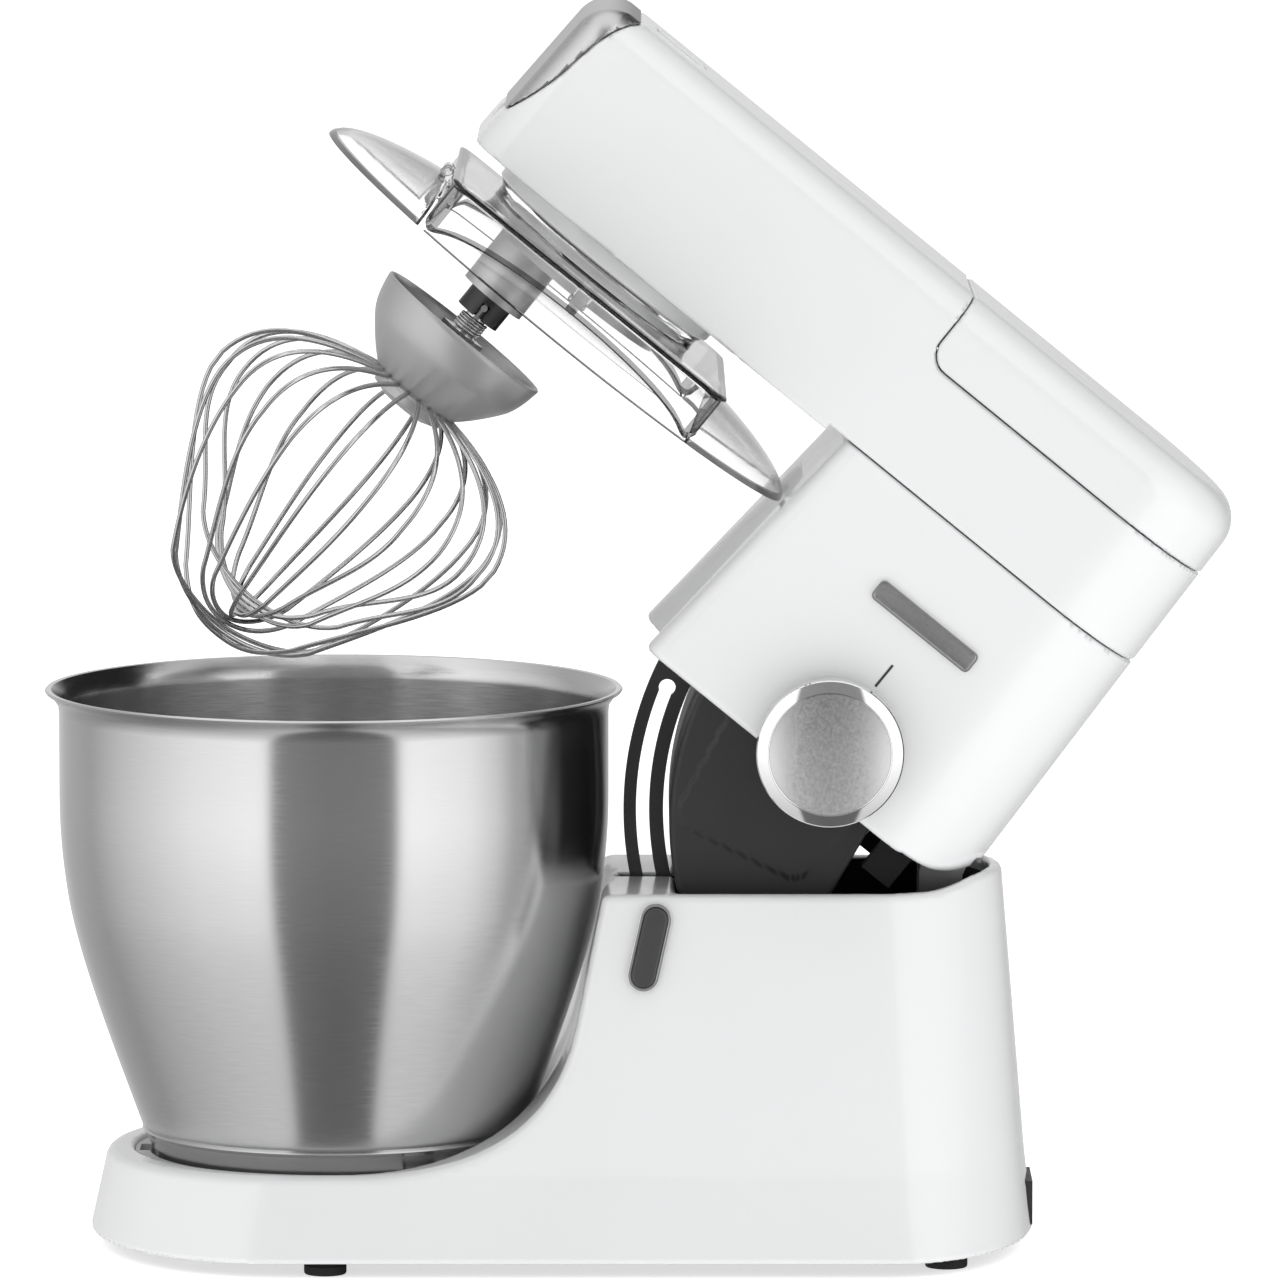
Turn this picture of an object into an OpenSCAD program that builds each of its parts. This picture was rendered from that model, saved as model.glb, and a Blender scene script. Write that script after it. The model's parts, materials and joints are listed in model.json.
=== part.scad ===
// Tilt-head stand mixer with a steel bowl, a balloon whisk and a clear splash guard.
// Lengths are millimetres. X runs from the bowl's axis to the rear, Z up from the table,
// and row() moves the finished part to the middle of its length. Head pieces are drawn
// with the head closed, and head_pose() raises them about the hinge.

/* [Base] */
// Length from the bowl's axis to the front of the base
base_front = 108; // [104:1:112]
// Length from the bowl's axis to the rear of the base
base_rear = 308; // [305:1:312]
// Half of the base's width at its lower edge
base_half_w = 108; // [104:1:112]
// Height of the base's lower edge over the table
base_z = 6.2; // [5:0.1:8]
// Height of the front platform
platform_z = 42.5; // [41:0.5:44]
// Height of the pedestal's flat top
pedestal_z = 162.5; // [161:0.5:163]
// Wall of the moulded casings
wall = 3.2; // [2.5:0.1:4]

/* [Bowl] */
// Radius of the bowl's rim
rim_r = 127; // [125:0.5:128]
// Height of the bowl's rim
rim_z = 245.5; // [244:0.5:246]
// Thickness of the steel sheet
bowl_t = 1.2; // [1:0.1:1.5]

/* [Head] */
// Distance of the hinge behind the bowl's axis
hinge_x = 275.8; // [275:0.1:277]
// Height of the hinge
hinge_z = 191.5; // [191:0.1:192]
// Angle of the raised head
tilt = 39.2; // [35:0.1:40]
// Half of the head's width at the column
head_half_w = 70; // [69:0.5:71]
// Height of the head's top when closed
head_top_z = 373; // [370:1:376]
// Length from the bowl's axis to the nose
nose_x = 77; // [75:1:79]

/* [Drive] */
// Distance of the tool's axis from the bowl's axis
tool_offset = 26.5; // [26.5:0.5:26.5]
// Teeth of the fixed ring gear
ring_teeth = 70; // [70:1:70]
// Teeth of the planet pinion
planet_teeth = 17; // [17:1:17]
// Teeth of the planet carrier's wheel
wheel_teeth = 56; // [56:1:56]
// Teeth of the gearbox pinion
pinion_teeth = 14; // [14:1:14]
// Teeth of the crown wheel
crown_teeth = 48; // [48:1:48]
// Teeth of the outlet pinion
outlet_teeth = 16; // [16:1:16]
// Distance of the motor's axis behind the bowl's axis
motor_x = 211; // [209:1:212]

/* [Whisk] */
// Number of wire loops
loops = 11; // [8:1:12]
// Thickness of the wire
wire_d = 2.2; // [2:0.1:2.5]
// Largest radius of the balloon
balloon_r = 77; // [74:0.5:78]

/* [Splash guard] */
// Radius of the guard's rim
guard_r = 127.5; // [127:0.5:128]
// Height of the guard's rim when closed
guard_z = 247.2; // [247:0.1:248]
// Rise of the guard's domed sheet over its rim
dome_rise = 23; // [20:0.5:25]
// Thickness of the clear sheet
clear_t = 2.2; // [2:0.1:2.5]

/* [Hidden] */
row_shift = 133.5;
eps = 0.01;
gap = 0.3;
fit = 0.05;
round_fn = 64;
hull_fn = 32;

// ---- shared shapes ----

module row() { translate([-row_shift, 0, 0]) children(); }
module head_pose() {
  row() translate([hinge_x, 0, hinge_z]) rotate([0, tilt, 0])
    translate([-hinge_x, 0, -hinge_z]) children();
}
// Extrudes a side view, drawn as [x, z], between two values of y.
module side(y0, y1) {
  translate([0, y1, 0]) rotate([90, 0, 0]) linear_extrude(y1 - y0) children();
}
module both_sides() {
  children();
  mirror([0, 1, 0]) children();
}
module block(low, high) { translate(low) cube(high - low); }
module rod_z(x, r, z0, z1) {
  translate([x, 0, z0]) cylinder(r = r, h = z1 - z0, $fn = round_fn);
}
module tube_z(x, r_in, r_out, z0, z1) {
  difference() {
    rod_z(x, r_out, z0, z1);
    rod_z(x, r_in, z0 - 1, z1 + 1);
  }
}
module rod_y(x, z, r, y0, y1) {
  translate([x, y1, z]) rotate([90, 0, 0]) cylinder(r = r, h = y1 - y0, $fn = round_fn);
}
function bezier(a, b, c, d, n) = [
  for (i = [0:n]) let (t = i / n)
    pow(1 - t, 3) * a + 3 * pow(1 - t, 2) * t * b + 3 * (1 - t) * t * t * c + t * t * t * d
];
function arc(c, r, a0, a1, n) = [
  for (i = [0:n]) let (a = a0 + (a1 - a0) * i / n) c + r * [cos(a), sin(a)]
];
// Trapezoid teeth round a pitch circle. The tooth is centred on angle 0.
function gear_points(n, m, add, ded, thick) = [
  for (i = [0:n - 1], k = [0:3])
    let (
      pitch_r = n * m / 2,
      r = (k == 0 || k == 3) ? pitch_r - ded : pitch_r + add,
      half = (k == 0 || k == 3) ? thick * 0.68 : thick * 0.26,
      a = 360 * i / n + (k < 2 ? -1 : 1) * half / r * 180 / PI
    ) r * [cos(a), sin(a)]
];

// ---- base ----

base_rear_round = 63;
base_front_round = 85;
opening_front = 150;
opening_rim = 6;
lip_z = 168;
seat_floor_z = 28;
bowl_gap = 4;

// Plan of the base: half ellipses at both ends. inset is the casing's wall.
function base_plan(front, rear, w, inset) = concat(
  [for (i = [0:16]) let (a = 90 + 180 * i / 16)
    [base_front_round - front + (base_front_round - inset) * cos(a), (w - inset) * sin(a)]],
  [for (i = [0:16]) let (a = -90 + 180 * i / 16)
    [rear - base_rear_round + (base_rear_round - inset) * cos(a), (w - inset) * sin(a)]]
);
module base_slice(z, front, rear, w, inset) {
  translate([0, 0, z]) linear_extrude(eps) polygon(base_plan(front, rear, w, inset));
}
module base_body(inset) {
  hull() {
    base_slice(base_z - (inset > 0 ? 1 : 0), base_front, base_rear, base_half_w, inset);
    base_slice(platform_z, base_front - 8, base_rear - 4, base_half_w - 12, inset);
  }
  hull() {
    base_slice(platform_z, base_front - 8, base_rear - 4, base_half_w - 12, inset);
    base_slice(pedestal_z + 12, base_front - 40, base_rear - 15, head_half_w - 3, inset);
  }
}
// Outside radius of the bowl, from the foot seam to under the rim.
bowl_side = concat(
  bezier([84, 50], [94, 78], [113, 126], [117.4, 156], 14),
  bezier([117.4, 156], [119.5, 170], [120.8, 182], [120.8, 200], 6),
  [[120.8, 235]]
);
// Everything cut away in front of the pedestal and above the platform.
cradle_side = concat(
  [[-200, platform_z + 0.3], [10, platform_z + 0.3]],
  bezier([10, 43], [75, 44], [100, 70], [107.5, 109], 12),
  [[118.5, pedestal_z + eps], [118.5, 300], [-200, 300]]
);
// o moves the cut into the casing, to leave its wall.
module cradle_cut(o) {
  side(-150, 150) translate([o, -o]) polygon(cradle_side);
  rotate_extrude($fn = 96) polygon(concat(
    [[0, seat_floor_z - o], [88 + o, seat_floor_z - o]],
    [for (p = bowl_side) p + [bowl_gap + o, 0]],
    [[bowl_side[len(bowl_side) - 1][0] + bowl_gap + o, 300], [0, 300]]));
}
// Profile of the pedestal's top: flat, then up to the rear lip.
module top_cut(o) {
  side(-150, 150) polygon(concat([[100, pedestal_z - o], [258, pedestal_z - o]],
    bezier([258, pedestal_z - o], [272, pedestal_z - o], [275, lip_z - o], [291, lip_z - o], 8),
    [[320, lip_z - o], [320, 400], [100, 400]]));
}
lever_x = 141.5;
lever_z = 151.7;
foot_x = [-2, 268];
foot_y = [92, 74];
screw_x = [-60, 120, 240];
module base_housing() {
  color("white") row() difference() {
    base_body(0);
    cradle_cut(0);
    top_cut(0);
    difference() {
      base_body(wall);
      cradle_cut(wall);
      top_cut(wall);
    }
    translate([0, 0, 120]) linear_extrude(80) intersection() {
      polygon(base_plan(0, base_rear - 14, head_half_w - 1, opening_rim));
      translate([opening_front, -100]) square(200);
    }
    block([126, -5, 140], [opening_front + 1, 5, 200]);
    rod_y(lever_x, lever_z, 4, -120, 0);
    block([base_rear - 30, -inlet_half_w, inlet_z[0]], [base_rear + 5, inlet_half_w, inlet_z[1]]);
  }
}
inlet_z = [9.5, 29];
inlet_half_w = 20;
cord_bore_r = 3.8;
module cord_inlet() {
  color("dimgray") row() difference() {
    block([base_rear - 16, -inlet_half_w + 0.1, inlet_z[0] + 0.1],
      [base_rear - 0.6, inlet_half_w - 0.1, inlet_z[1] - 0.1]);
    translate([base_rear - 20, 0, (inlet_z[0] + inlet_z[1]) / 2]) rotate([0, 90, 0])
      cylinder(r = cord_bore_r, h = 30, $fn = round_fn);
  }
}
module base_plate() {
  color("dimgray") row() difference() {
    translate([0, 0, base_z]) linear_extrude(2.8)
      polygon(base_plan(base_front, base_rear, base_half_w, wall + 1.4));
    for (i = [0, 1], s = [-1, 1]) translate([foot_x[i], s * foot_y[i], 0])
      cylinder(r = 5, h = 20, $fn = round_fn);
    for (x = screw_x, s = [-1, 1]) translate([x, s * 62, 0])
      cylinder(r = 2.2, h = 20, $fn = round_fn);
  }
}
module rubber_feet() {
  color([0.08, 0.08, 0.08]) row() for (i = [0, 1], s = [-1, 1])
    translate([foot_x[i], s * foot_y[i], 0]) {
      cylinder(r = 9.25, h = base_z, $fn = round_fn);
      cylinder(r = 4.9, h = base_z + 6, $fn = round_fn);
    }
}
module base_screws() {
  color("silver") row() for (x = screw_x, s = [-1, 1]) translate([x, s * 62, base_z - 2])
    difference() {
      union() {
        cylinder(r = 3.8, h = 2, $fn = round_fn);
        cylinder(r = 2, h = 14, $fn = round_fn);
      }
      translate([0, 0, -1]) cylinder(r = 1.6, h = 2.4, $fn = 6);
    }
}
lug_count = 3;
seat_top_z = 41;
foot_r = 79.5;
module bowl_seat() {
  color("gainsboro") row() difference() {
    rotate_extrude($fn = 96)
      polygon([[62, seat_floor_z], [88, seat_floor_z], [88, seat_top_z], [82, seat_top_z],
        [82, seat_floor_z + 2.8], [62, seat_floor_z + 2.8]]);
    for (i = [0:lug_count - 1]) rotate([0, 0, 120 * i + 60])
      block([80, -9, seat_floor_z + 2.8], [86, 9, seat_top_z + 1]);
  }
}
ear_y = [14, 22];
eye_r = 12;
pin_r = 6;
module hinge_bracket() {
  color("silver") row() difference() {
    union() {
      both_sides() {
        rod_y(hinge_x, hinge_z, eye_r, ear_y[0], ear_y[1]);
        side(ear_y[0], ear_y[1]) polygon([[256, 24], [276, 24], [276, 165], [284, 183],
          [286.5, 191], [265, 196], [257, 166]]);
      }
      block([240, -40, 20], [280, 40, 24]);
      block([257, -ear_y[0], 60], [261, ear_y[0], 110]);
    }
    rod_y(hinge_x, hinge_z, pin_r, -60, 60);
  }
}
module hinge_pin() { color("lightgray") row() rod_y(hinge_x, hinge_z, pin_r, -34, 34); }
shaft_r = 3.5;
module latch_bearing() {
  color("dimgray") row() both_sides() difference() {
    block([133, 7, 143], [148, 16, pedestal_z - wall - 0.1]);
    rod_y(lever_x, lever_z, shaft_r + fit, 0, 30);
  }
}

// ---- release lever ----

lever_len = 24.1;
lever_tilt = 13;
side_lean = 12.45;
module lever_outline(r) {
  hull() for (t = [0, lever_len])
    translate([lever_x - t * sin(lever_tilt), lever_z - t * cos(lever_tilt)])
      circle(r = r, $fn = hull_fn);
}
// A slab that follows the leaning side of the base, from one distance off it to another.
module side_slab(t0, t1) {
  translate([0, -(base_half_w - 12), platform_z]) rotate([-side_lean, 0, 0])
    block([60, -t1, 0], [220, -t0, 160]);
}
module release_lever() {
  color([0.25, 0.25, 0.26]) row() intersection() {
    side(-100, -60) lever_outline(5.4);
    side_slab(1.0, 4.2);
  }
}
module lever_rim() {
  color("silver") row() difference() {
    intersection() {
      side(-100, -60) lever_outline(7);
      side_slab(0.8, 3.6);
    }
    side(-100, -60) lever_outline(5.4);
  }
}
module latch_shaft() {
  color("lightgray") row() difference() {
    rod_y(lever_x, lever_z, shaft_r, -74.1, 18);
    translate([lever_x, 0, lever_z])
      rotate([0, -atan2(hinge_z - lever_z, hinge_x - lever_x), 0])
        for (s = [-1, 1]) translate([s * 4.5, 0, 0]) cube([4, 10, 20], center = true);
  }
}
module lever_spring() {
  color("silver") row() difference() {
    rod_y(lever_x, lever_z, shaft_r + 2.4, -60, -48);
    rod_y(lever_x, lever_z, shaft_r + 0.5, -61, -47);
  }
}

// ---- bowl ----

bowl_z = 31.3;
// Outside of the bowl's bottom corner, which the foot ring meets.
bowl_corner = [77.5, 43];
module bowl() {
  color("silver") row() rotate_extrude($fn = 96) difference() {
    polygon(concat([[0, 38], [72, 38], bowl_corner], bowl_side,
      [[122.5, 240], [rim_r, rim_z - 1], [rim_r, rim_z], [0, rim_z]]));
    polygon(concat([[0, 38 + bowl_t], [71.5, 38 + bowl_t], bowl_corner + [-0.9, 0.8]],
      [for (p = bowl_side) p - [bowl_t, 0]],
      [[121.3, 240.8], [rim_r - 0.6, rim_z + eps], [rim_r, rim_z + 1], [0, rim_z + 1]]));
  }
}
module bowl_foot() {
  color("silver") row() {
    rotate_extrude($fn = 96) polygon([[foot_r - 1.5, bowl_z], [foot_r, bowl_z], [foot_r, 40],
      bowl_side[0], bowl_corner + (bowl_side[0] - bowl_corner) / 13]);
    for (i = [0:lug_count - 1]) rotate([0, 0, 120 * i + 60])
      block([foot_r - 0.8, -6, 34], [84, 6, 37]);
  }
}

// ---- head casing ----

part_z = 290.5;
floor_z = 164.7;
column_front = [118.8, 128.6];
column_rear = [297, 292];
column_round = 53;
function column_plan(front, rear, inset) = concat(
  arc([front + 8, head_half_w - 8], 8 - inset, 90, 180, 4),
  arc([front + 8, 8 - head_half_w], 8 - inset, 180, 270, 4),
  [for (i = [0:16]) let (a = -90 + 180 * i / 16)
    [rear - column_round + (column_round - inset) * cos(a), (head_half_w - inset) * sin(a)]]
);
module column_body(inset, z0, z1) {
  hull() {
    translate([0, 0, z0]) linear_extrude(eps)
      polygon(column_plan(column_front[0], column_rear[0], inset));
    translate([0, 0, z1 - eps]) linear_extrude(eps)
      polygon(column_plan(column_front[1], column_rear[1], inset));
  }
}
// Cuts the rear of the underside into a rising curve.
module heel_cut(o) {
  side(-100, 100) polygon(concat([[250, floor_z - 20], [262, floor_z + o]],
    bezier([262, floor_z + o], [276, floor_z + o], [285, 168 + o], [299, 179 + o], 6),
    [[299, floor_z - 20]]));
}
scoop_r = 130.5;
knob_x = 207.7;
knob_z = 181.6;
module head_lower_housing() {
  color("white") head_pose() difference() {
    column_body(0, floor_z, part_z);
    difference() {
      column_body(wall, floor_z + wall, part_z + 2);
      rod_z(0, scoop_r + wall, 0, 266);
      heel_cut(wall);
    }
    rod_z(0, scoop_r, 100, 262);
    heel_cut(0);
    block([236, -51, 100], [290, 51, 172]);
    block([280, -27, 100], [310, 27, 181]);
    rod_z(motor_x, 13, 100, 180);
    rod_y(knob_x, knob_z, 4.3, -90, -40);
  }
}
// Plan of the upper casing, narrower at the nose.
nose_half_w = 64;
function upper_plan(inset) = concat(
  arc([16 - nose_x, nose_half_w - 16], 16 - inset, 90, 180, 6),
  arc([16 - nose_x, 16 - nose_half_w], 16 - inset, 180, 270, 6),
  [[110, inset - head_half_w]],
  [for (i = [0:16]) let (a = -90 + 180 * i / 16)
    [column_rear[1] - column_round + (column_round - inset) * cos(a),
      (head_half_w - inset) * sin(a)]],
  [[110, head_half_w - inset]]
);
upper_steps = [[288, 1.2], [part_z, 0], [332, 1.2], [357, 3], [366, 6], [371, 10.5], [373, 17]];
module upper_body(inset) {
  hull() for (s = upper_steps)
    translate([0, 0, s[0] + head_top_z - 373 - (s[0] > 360 ? inset : 0)]) linear_extrude(eps)
      polygon(upper_plan(s[1] + inset));
}
cover_x = 133;
cover_z = 338.8;
module cover_region(o) {
  side(-100, 100) polygon(concat(
    arc([cover_x + 10 + o, cover_z + 10 + o], 10, 270, 180, 5),
    [[cover_x + o, 420], [420, 420], [420, cover_z + o]]));
}
// The nose cap's outline from the side, pointed at its foot.
module nose_region(o) {
  side(-100, 100) polygon(concat(
    bezier([-nose_x - 1, 301 + o], [-73 - o, 312], [-68 - o, 326], [-66 - o, 338], 6),
    [[-63 - o, 364], [-60 - o, 369], [-52 - o, 373], [-52 - o, 420], [-120, 420],
      [-120, 301 + o]]));
}
catch_x = [-44, -18];
catch_half_w = 11;
module head_upper_housing() {
  color("white") head_pose() difference() {
    upper_body(0);
    difference() {
      upper_body(wall);
      block([-200, -100, 280], [400, 100, part_z + 0.5]);
      block([cover_x - wall, -100, cover_z - wall], [400, 100, 400]);
      block([-nose_x - 1, -100, 280], [5 - nose_x, 100, 400]);
    }
    cover_region(0);
    intersection() {
      nose_region(0);
      difference() {
        upper_body(-1);
        upper_body(2.6);
      }
    }
    block([column_front[1] - 10, -100, 280], [400, 100, part_z + 0.5]);
    block([column_front[1] - 2, -60, 280], [280, 60, part_z + 5]);
    rod_z(0, 46.5, 280, 300);
    rod_z(motor_x, 26, 320, 345);
    block([catch_x[0], -catch_half_w, 360], [catch_x[1], catch_half_w, 380]);
    translate([-90, 0, outlet_z]) rotate([0, 90, 0]) cylinder(r = 16, h = 20, $fn = round_fn);
  }
}
module top_cover() {
  color("white") head_pose() difference() {
    intersection() {
      upper_body(0);
      cover_region(gap);
    }
    intersection() {
      upper_body(2.6);
      block([cover_x + 3, -100, 300], [400, 100, 420]);
    }
  }
}
module nose_cap() {
  color("lightgray") head_pose() intersection() {
    nose_region(gap);
    difference() {
      upper_body(0);
      upper_body(2.2);
    }
  }
}
module outlet_catch() {
  color("whitesmoke") head_pose()
    block([catch_x[0] + gap, -catch_half_w + gap, 362], [catch_x[1] - gap, catch_half_w - gap,
      head_top_z + 1.3]);
}
chassis_z = [294, 300];
lug_y = [24, 31];
module head_chassis() {
  color("lightslategray") head_pose() difference() {
    union() {
      block([-58, -54, chassis_z[0]], [250, 54, chassis_z[1]]);
      block([250, -40, chassis_z[0]], [276, 40, chassis_z[1]]);
      both_sides() {
        block([264, lug_y[0], hinge_z], [282, lug_y[1], chassis_z[0] + 1]);
        rod_y(hinge_x, hinge_z, 11, lug_y[0], lug_y[1]);
      }
    }
    rod_y(hinge_x, hinge_z, pin_r + 2, -60, 60);
    rod_z(0, hub_shaft_r + fit, 280, 310);
    rod_z(input_x, input_r + fit, 280, 310);
    rod_z(motor_x, 13, 280, 310);
    for (p = chassis_screws) translate([p[0], p[1], 280]) cylinder(r = 2.2, h = 40, $fn = 32);
  }
}
chassis_screws = [for (x = [-40, 110, 240], s = [-1, 1]) [x, s * 48]];
module head_screws() {
  color("silver") head_pose() for (p = chassis_screws) translate([p[0], p[1], chassis_z[1]])
    difference() {
      union() {
        cylinder(r = 4, h = 2.6, $fn = round_fn);
        translate([0, 0, -8.5]) cylinder(r = 2.2, h = 9, $fn = 32);
      }
      translate([0, 0, 1]) cylinder(r = 1.6, h = 3, $fn = 6);
    }
}
module hinge_stops() {
  color([0.08, 0.08, 0.08]) head_pose() both_sides()
    block([254, 33, 148], [269, 43, 172]);
}
module hinge_bushes() {
  color("goldenrod") head_pose() both_sides() difference() {
    rod_y(hinge_x, hinge_z, pin_r + 2, lug_y[0], lug_y[1]);
    rod_y(hinge_x, hinge_z, pin_r + fit, 0, 60);
  }
}

// ---- latch plate and quadrant cover, both about the hinge ----

plate_r = [131, 148.5];
slot_r = 5.7 / 2;
keyhole_r = 3.7;
latch_r = sqrt(pow(hinge_x - lever_x, 2) + pow(hinge_z - lever_z, 2));
latch_a = atan2(hinge_z - lever_z, hinge_x - lever_x);
// A point at radius r, a degrees below the level line towards the bowl.
function swing(r, a) = [hinge_x - r * cos(a), hinge_z - r * sin(a)];
module band(r0, r1, a0, a1, y0, y1) {
  intersection() {
    difference() {
      rod_y(hinge_x, hinge_z, r1, y0, y1);
      rod_y(hinge_x, hinge_z, r0, y0 - 1, y1 + 1);
    }
    side(y0, y1) polygon(concat([[hinge_x, hinge_z]],
      [for (i = [0:4]) swing(260, a0 + (a1 - a0) * i / 4)]));
  }
}
module latch_plate() {
  color([0.3, 0.3, 0.31]) head_pose() difference() {
    intersection() {
      band(plate_r[0], plate_r[1], 5, latch_a + tilt + 4, -2, 2);
      block([0, -5, 0], [300, 5, floor_z]);
    }
    band(latch_r - slot_r, latch_r + slot_r, latch_a, latch_a + tilt, -3, 3);
    for (a = [latch_a, latch_a + tilt])
      rod_y(swing(latch_r, a)[0], swing(latch_r, a)[1], keyhole_r, -3, 3);
  }
}
quad_r = 128.5;
quad_half_w = 50;
quad_rear = 253;
quad_low = 80;
module quadrant_shape(o) {
  intersection() {
    rod_y(hinge_x, hinge_z, quad_r - o, o - quad_half_w, quad_half_w - o);
    block([100, -60, quad_low + o], [quad_rear + (o > 0 ? 5 : 0), 60,
      floor_z - gap + (o > 0 ? 1 : 0)]);
  }
}
module quadrant_cover() {
  color([0.22, 0.22, 0.23]) head_pose() {
    difference() {
      quadrant_shape(0);
      quadrant_shape(2.6);
    }
    both_sides() side(quad_half_w - 0.2, quad_half_w + 1) offset(r = 9, $fn = 24)
      polygon([swing(108, 20), swing(108, 42), [236, 122], [236, 146]]);
  }
}

// ---- badge, knob and speed control ----

badge_x = [178.5, 233];
badge_z = [244, 254.3];
module rounded_plate(x, z, r, y0, y1) {
  side(y0, y1) hull() for (i = [0, 1], j = [0, 1])
    translate([x[i] + (i == 0 ? r : -r), z[j] + (j == 0 ? r : -r)]) circle(r = r, $fn = hull_fn);
}
module badge_rim() {
  color("silver") head_pose() difference() {
    rounded_plate(badge_x, badge_z, 3, -head_half_w - 2, -head_half_w);
    rounded_plate(badge_x + [1.2, -1.2], badge_z + [1.2, -1.2], 2, -80, -60);
  }
}
module badge_plate() {
  color("darkgray") head_pose()
    rounded_plate(badge_x + [1.2, -1.2], badge_z + [1.2, -1.2], 2, -head_half_w - 1.4,
      -head_half_w);
}
module dial_mark() {
  color("dimgray") head_pose()
    block([knob_x - 1, -head_half_w - 0.25, knob_z + 37],
      [knob_x + 0.2, -head_half_w, knob_z + 49]);
}
knob_r = 32;
knob_y = [-93, -73.6];
disc_r = 26.5;
module speed_knob() {
  color("silver") head_pose() translate([knob_x, 0, knob_z]) rotate([90, 0, 0])
    rotate_extrude($fn = 96) polygon([[disc_r, -knob_y[1]], [knob_r - 1, -knob_y[1]],
      [knob_r, -knob_y[1] + 1.5], [knob_r, -knob_y[0] - 6], [knob_r - 4, -knob_y[0] - 0.6],
      [knob_r - 5, -knob_y[0]], [disc_r, -knob_y[0] - 0.6]]);
}
module knob_disc() {
  color("gainsboro") head_pose() translate([knob_x, 0, knob_z]) rotate([90, 0, 0]) difference() {
    cylinder(r = disc_r, h = -knob_y[0] - 1, $fn = 96);
    translate([0, 0, -1]) cylinder(r = disc_r + 1, h = -knob_y[1] + 1, $fn = 96);
    translate([0, 0, -knob_y[0] + 92]) sphere(r = 96, $fn = 128);
  }
}
module knob_shaft() {
  color("silver") head_pose() rod_y(knob_x, knob_z, 4, knob_y[1], -54);
}
module speed_board() {
  color("darkgreen") head_pose() {
    difference() {
      block([184, -60, 172], [234, -58.4, 226]);
      rod_y(knob_x, knob_z, 4.3, -70, -50);
    }
    difference() {
      rod_y(knob_x, knob_z, 8, -58.4, -52);
      rod_y(knob_x, knob_z, 4 + fit, -60, -53.5);
    }
    block([190, -58.4, 205], [206, -52, 220]);
  }
}

// ---- motor, belt and gearbox ----

motor_z = [205, 255];
motor_shaft_r = 5;
belt_z = [312, 322];
small_r = 11;
input_x = (wheel_teeth + pinion_teeth) * 2 / 2;
input_r = 6;
large_r = 42;
wheel_z = [301.5, 308];
module motor_stator() {
  color("dimgray") head_pose() tube_z(motor_x, 30.5, 47, motor_z[0], motor_z[1]);
}
module motor_windings() {
  color("peru") head_pose() {
    tube_z(motor_x, 32, 45, motor_z[1], motor_z[1] + 9);
    tube_z(motor_x, 32, 45, motor_z[0] - 9, motor_z[0]);
  }
}
module motor_rotor() {
  color("gray") head_pose() {
    rod_z(motor_x, 30, motor_z[0] + 1, motor_z[1] - 1);
    rod_z(motor_x, motor_shaft_r, floor_z + 2, 346);
    rod_z(motor_x, 9, 338, 344);
    for (i = [0:5]) translate([motor_x, 0, 344]) rotate([0, 0, 60 * i])
      translate([6, -1.2, 0]) cube([3, 2.4, 4]);
  }
}
module commutator() {
  color("peru") head_pose() tube_z(motor_x, motor_shaft_r, 13, 266, 280);
}
module motor_brushes() {
  color("black") head_pose() for (s = [-1, 1])
    translate([motor_x, 0, 0]) block([-4, s > 0 ? 13.4 : -28, 268], [4, s > 0 ? 28 : -13.4, 278]);
}
module motor_bearings() {
  color("silver") head_pose() {
    tube_z(motor_x, motor_shaft_r + fit, 13, floor_z + 2, floor_z + 10);
    tube_z(motor_x, motor_shaft_r + fit, 13, chassis_z[0] - 3, chassis_z[1]);
  }
}
fan_blades = 12;
module motor_fan() {
  color("dimgray") head_pose() translate([motor_x, 0, 0]) {
    tube_z(0, motor_shaft_r, 40, 180, 182);
    tube_z(0, motor_shaft_r, 10, 182, 192);
    for (i = [0:fan_blades - 1]) rotate([0, 0, 360 * i / fan_blades])
      block([9.5, -0.8, 181.5], [39, 0.8, 192]);
  }
}
module motor_pulley() {
  color("gray") head_pose() {
    tube_z(motor_x, motor_shaft_r, small_r, belt_z[0] - 1, belt_z[1] + 1);
    tube_z(motor_x, motor_shaft_r, small_r + 4, belt_z[1] + 1, belt_z[1] + 2.5);
    tube_z(motor_x, motor_shaft_r, small_r + 4, belt_z[0] - 2.5, belt_z[0] - 1);
  }
}
module gearbox_pulley() {
  color("dimgray") head_pose() difference() {
    rod_z(input_x, large_r, belt_z[0] - 1, belt_z[1] + 1);
    rod_z(input_x, input_r, 300, 330);
    for (i = [0:5]) translate([input_x, 0, 0]) rotate([0, 0, 60 * i])
      translate([24, 0, 300]) cylinder(r = 8, h = 40, $fn = round_fn);
  }
}
module belt_loop(o, z0, z1) {
  translate([0, 0, z0]) linear_extrude(z1 - z0) hull() {
    translate([motor_x, 0]) circle(r = small_r + o, $fn = 48);
    translate([input_x, 0]) circle(r = large_r + o, $fn = 96);
  }
}
module drive_belt() {
  color([0.12, 0.12, 0.12]) head_pose() difference() {
    belt_loop(2.6, belt_z[0], belt_z[1]);
    belt_loop(0.5, belt_z[0] - 1, belt_z[1] + 1);
  }
}
module gearbox_shaft() {
  color("lightgray") head_pose() {
    rod_z(input_x, input_r, 293, belt_z[1] + 5);
    translate([input_x, 0, wheel_z[0] - 0.4]) linear_extrude(wheel_z[1] - wheel_z[0] + 0.8)
      polygon(gear_points(pinion_teeth, 2, 1.5, 2, 2.5));
  }
}
hub_shaft_r = 10;
crown_r = [30, 38];
crown_h = 2.8;
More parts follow.
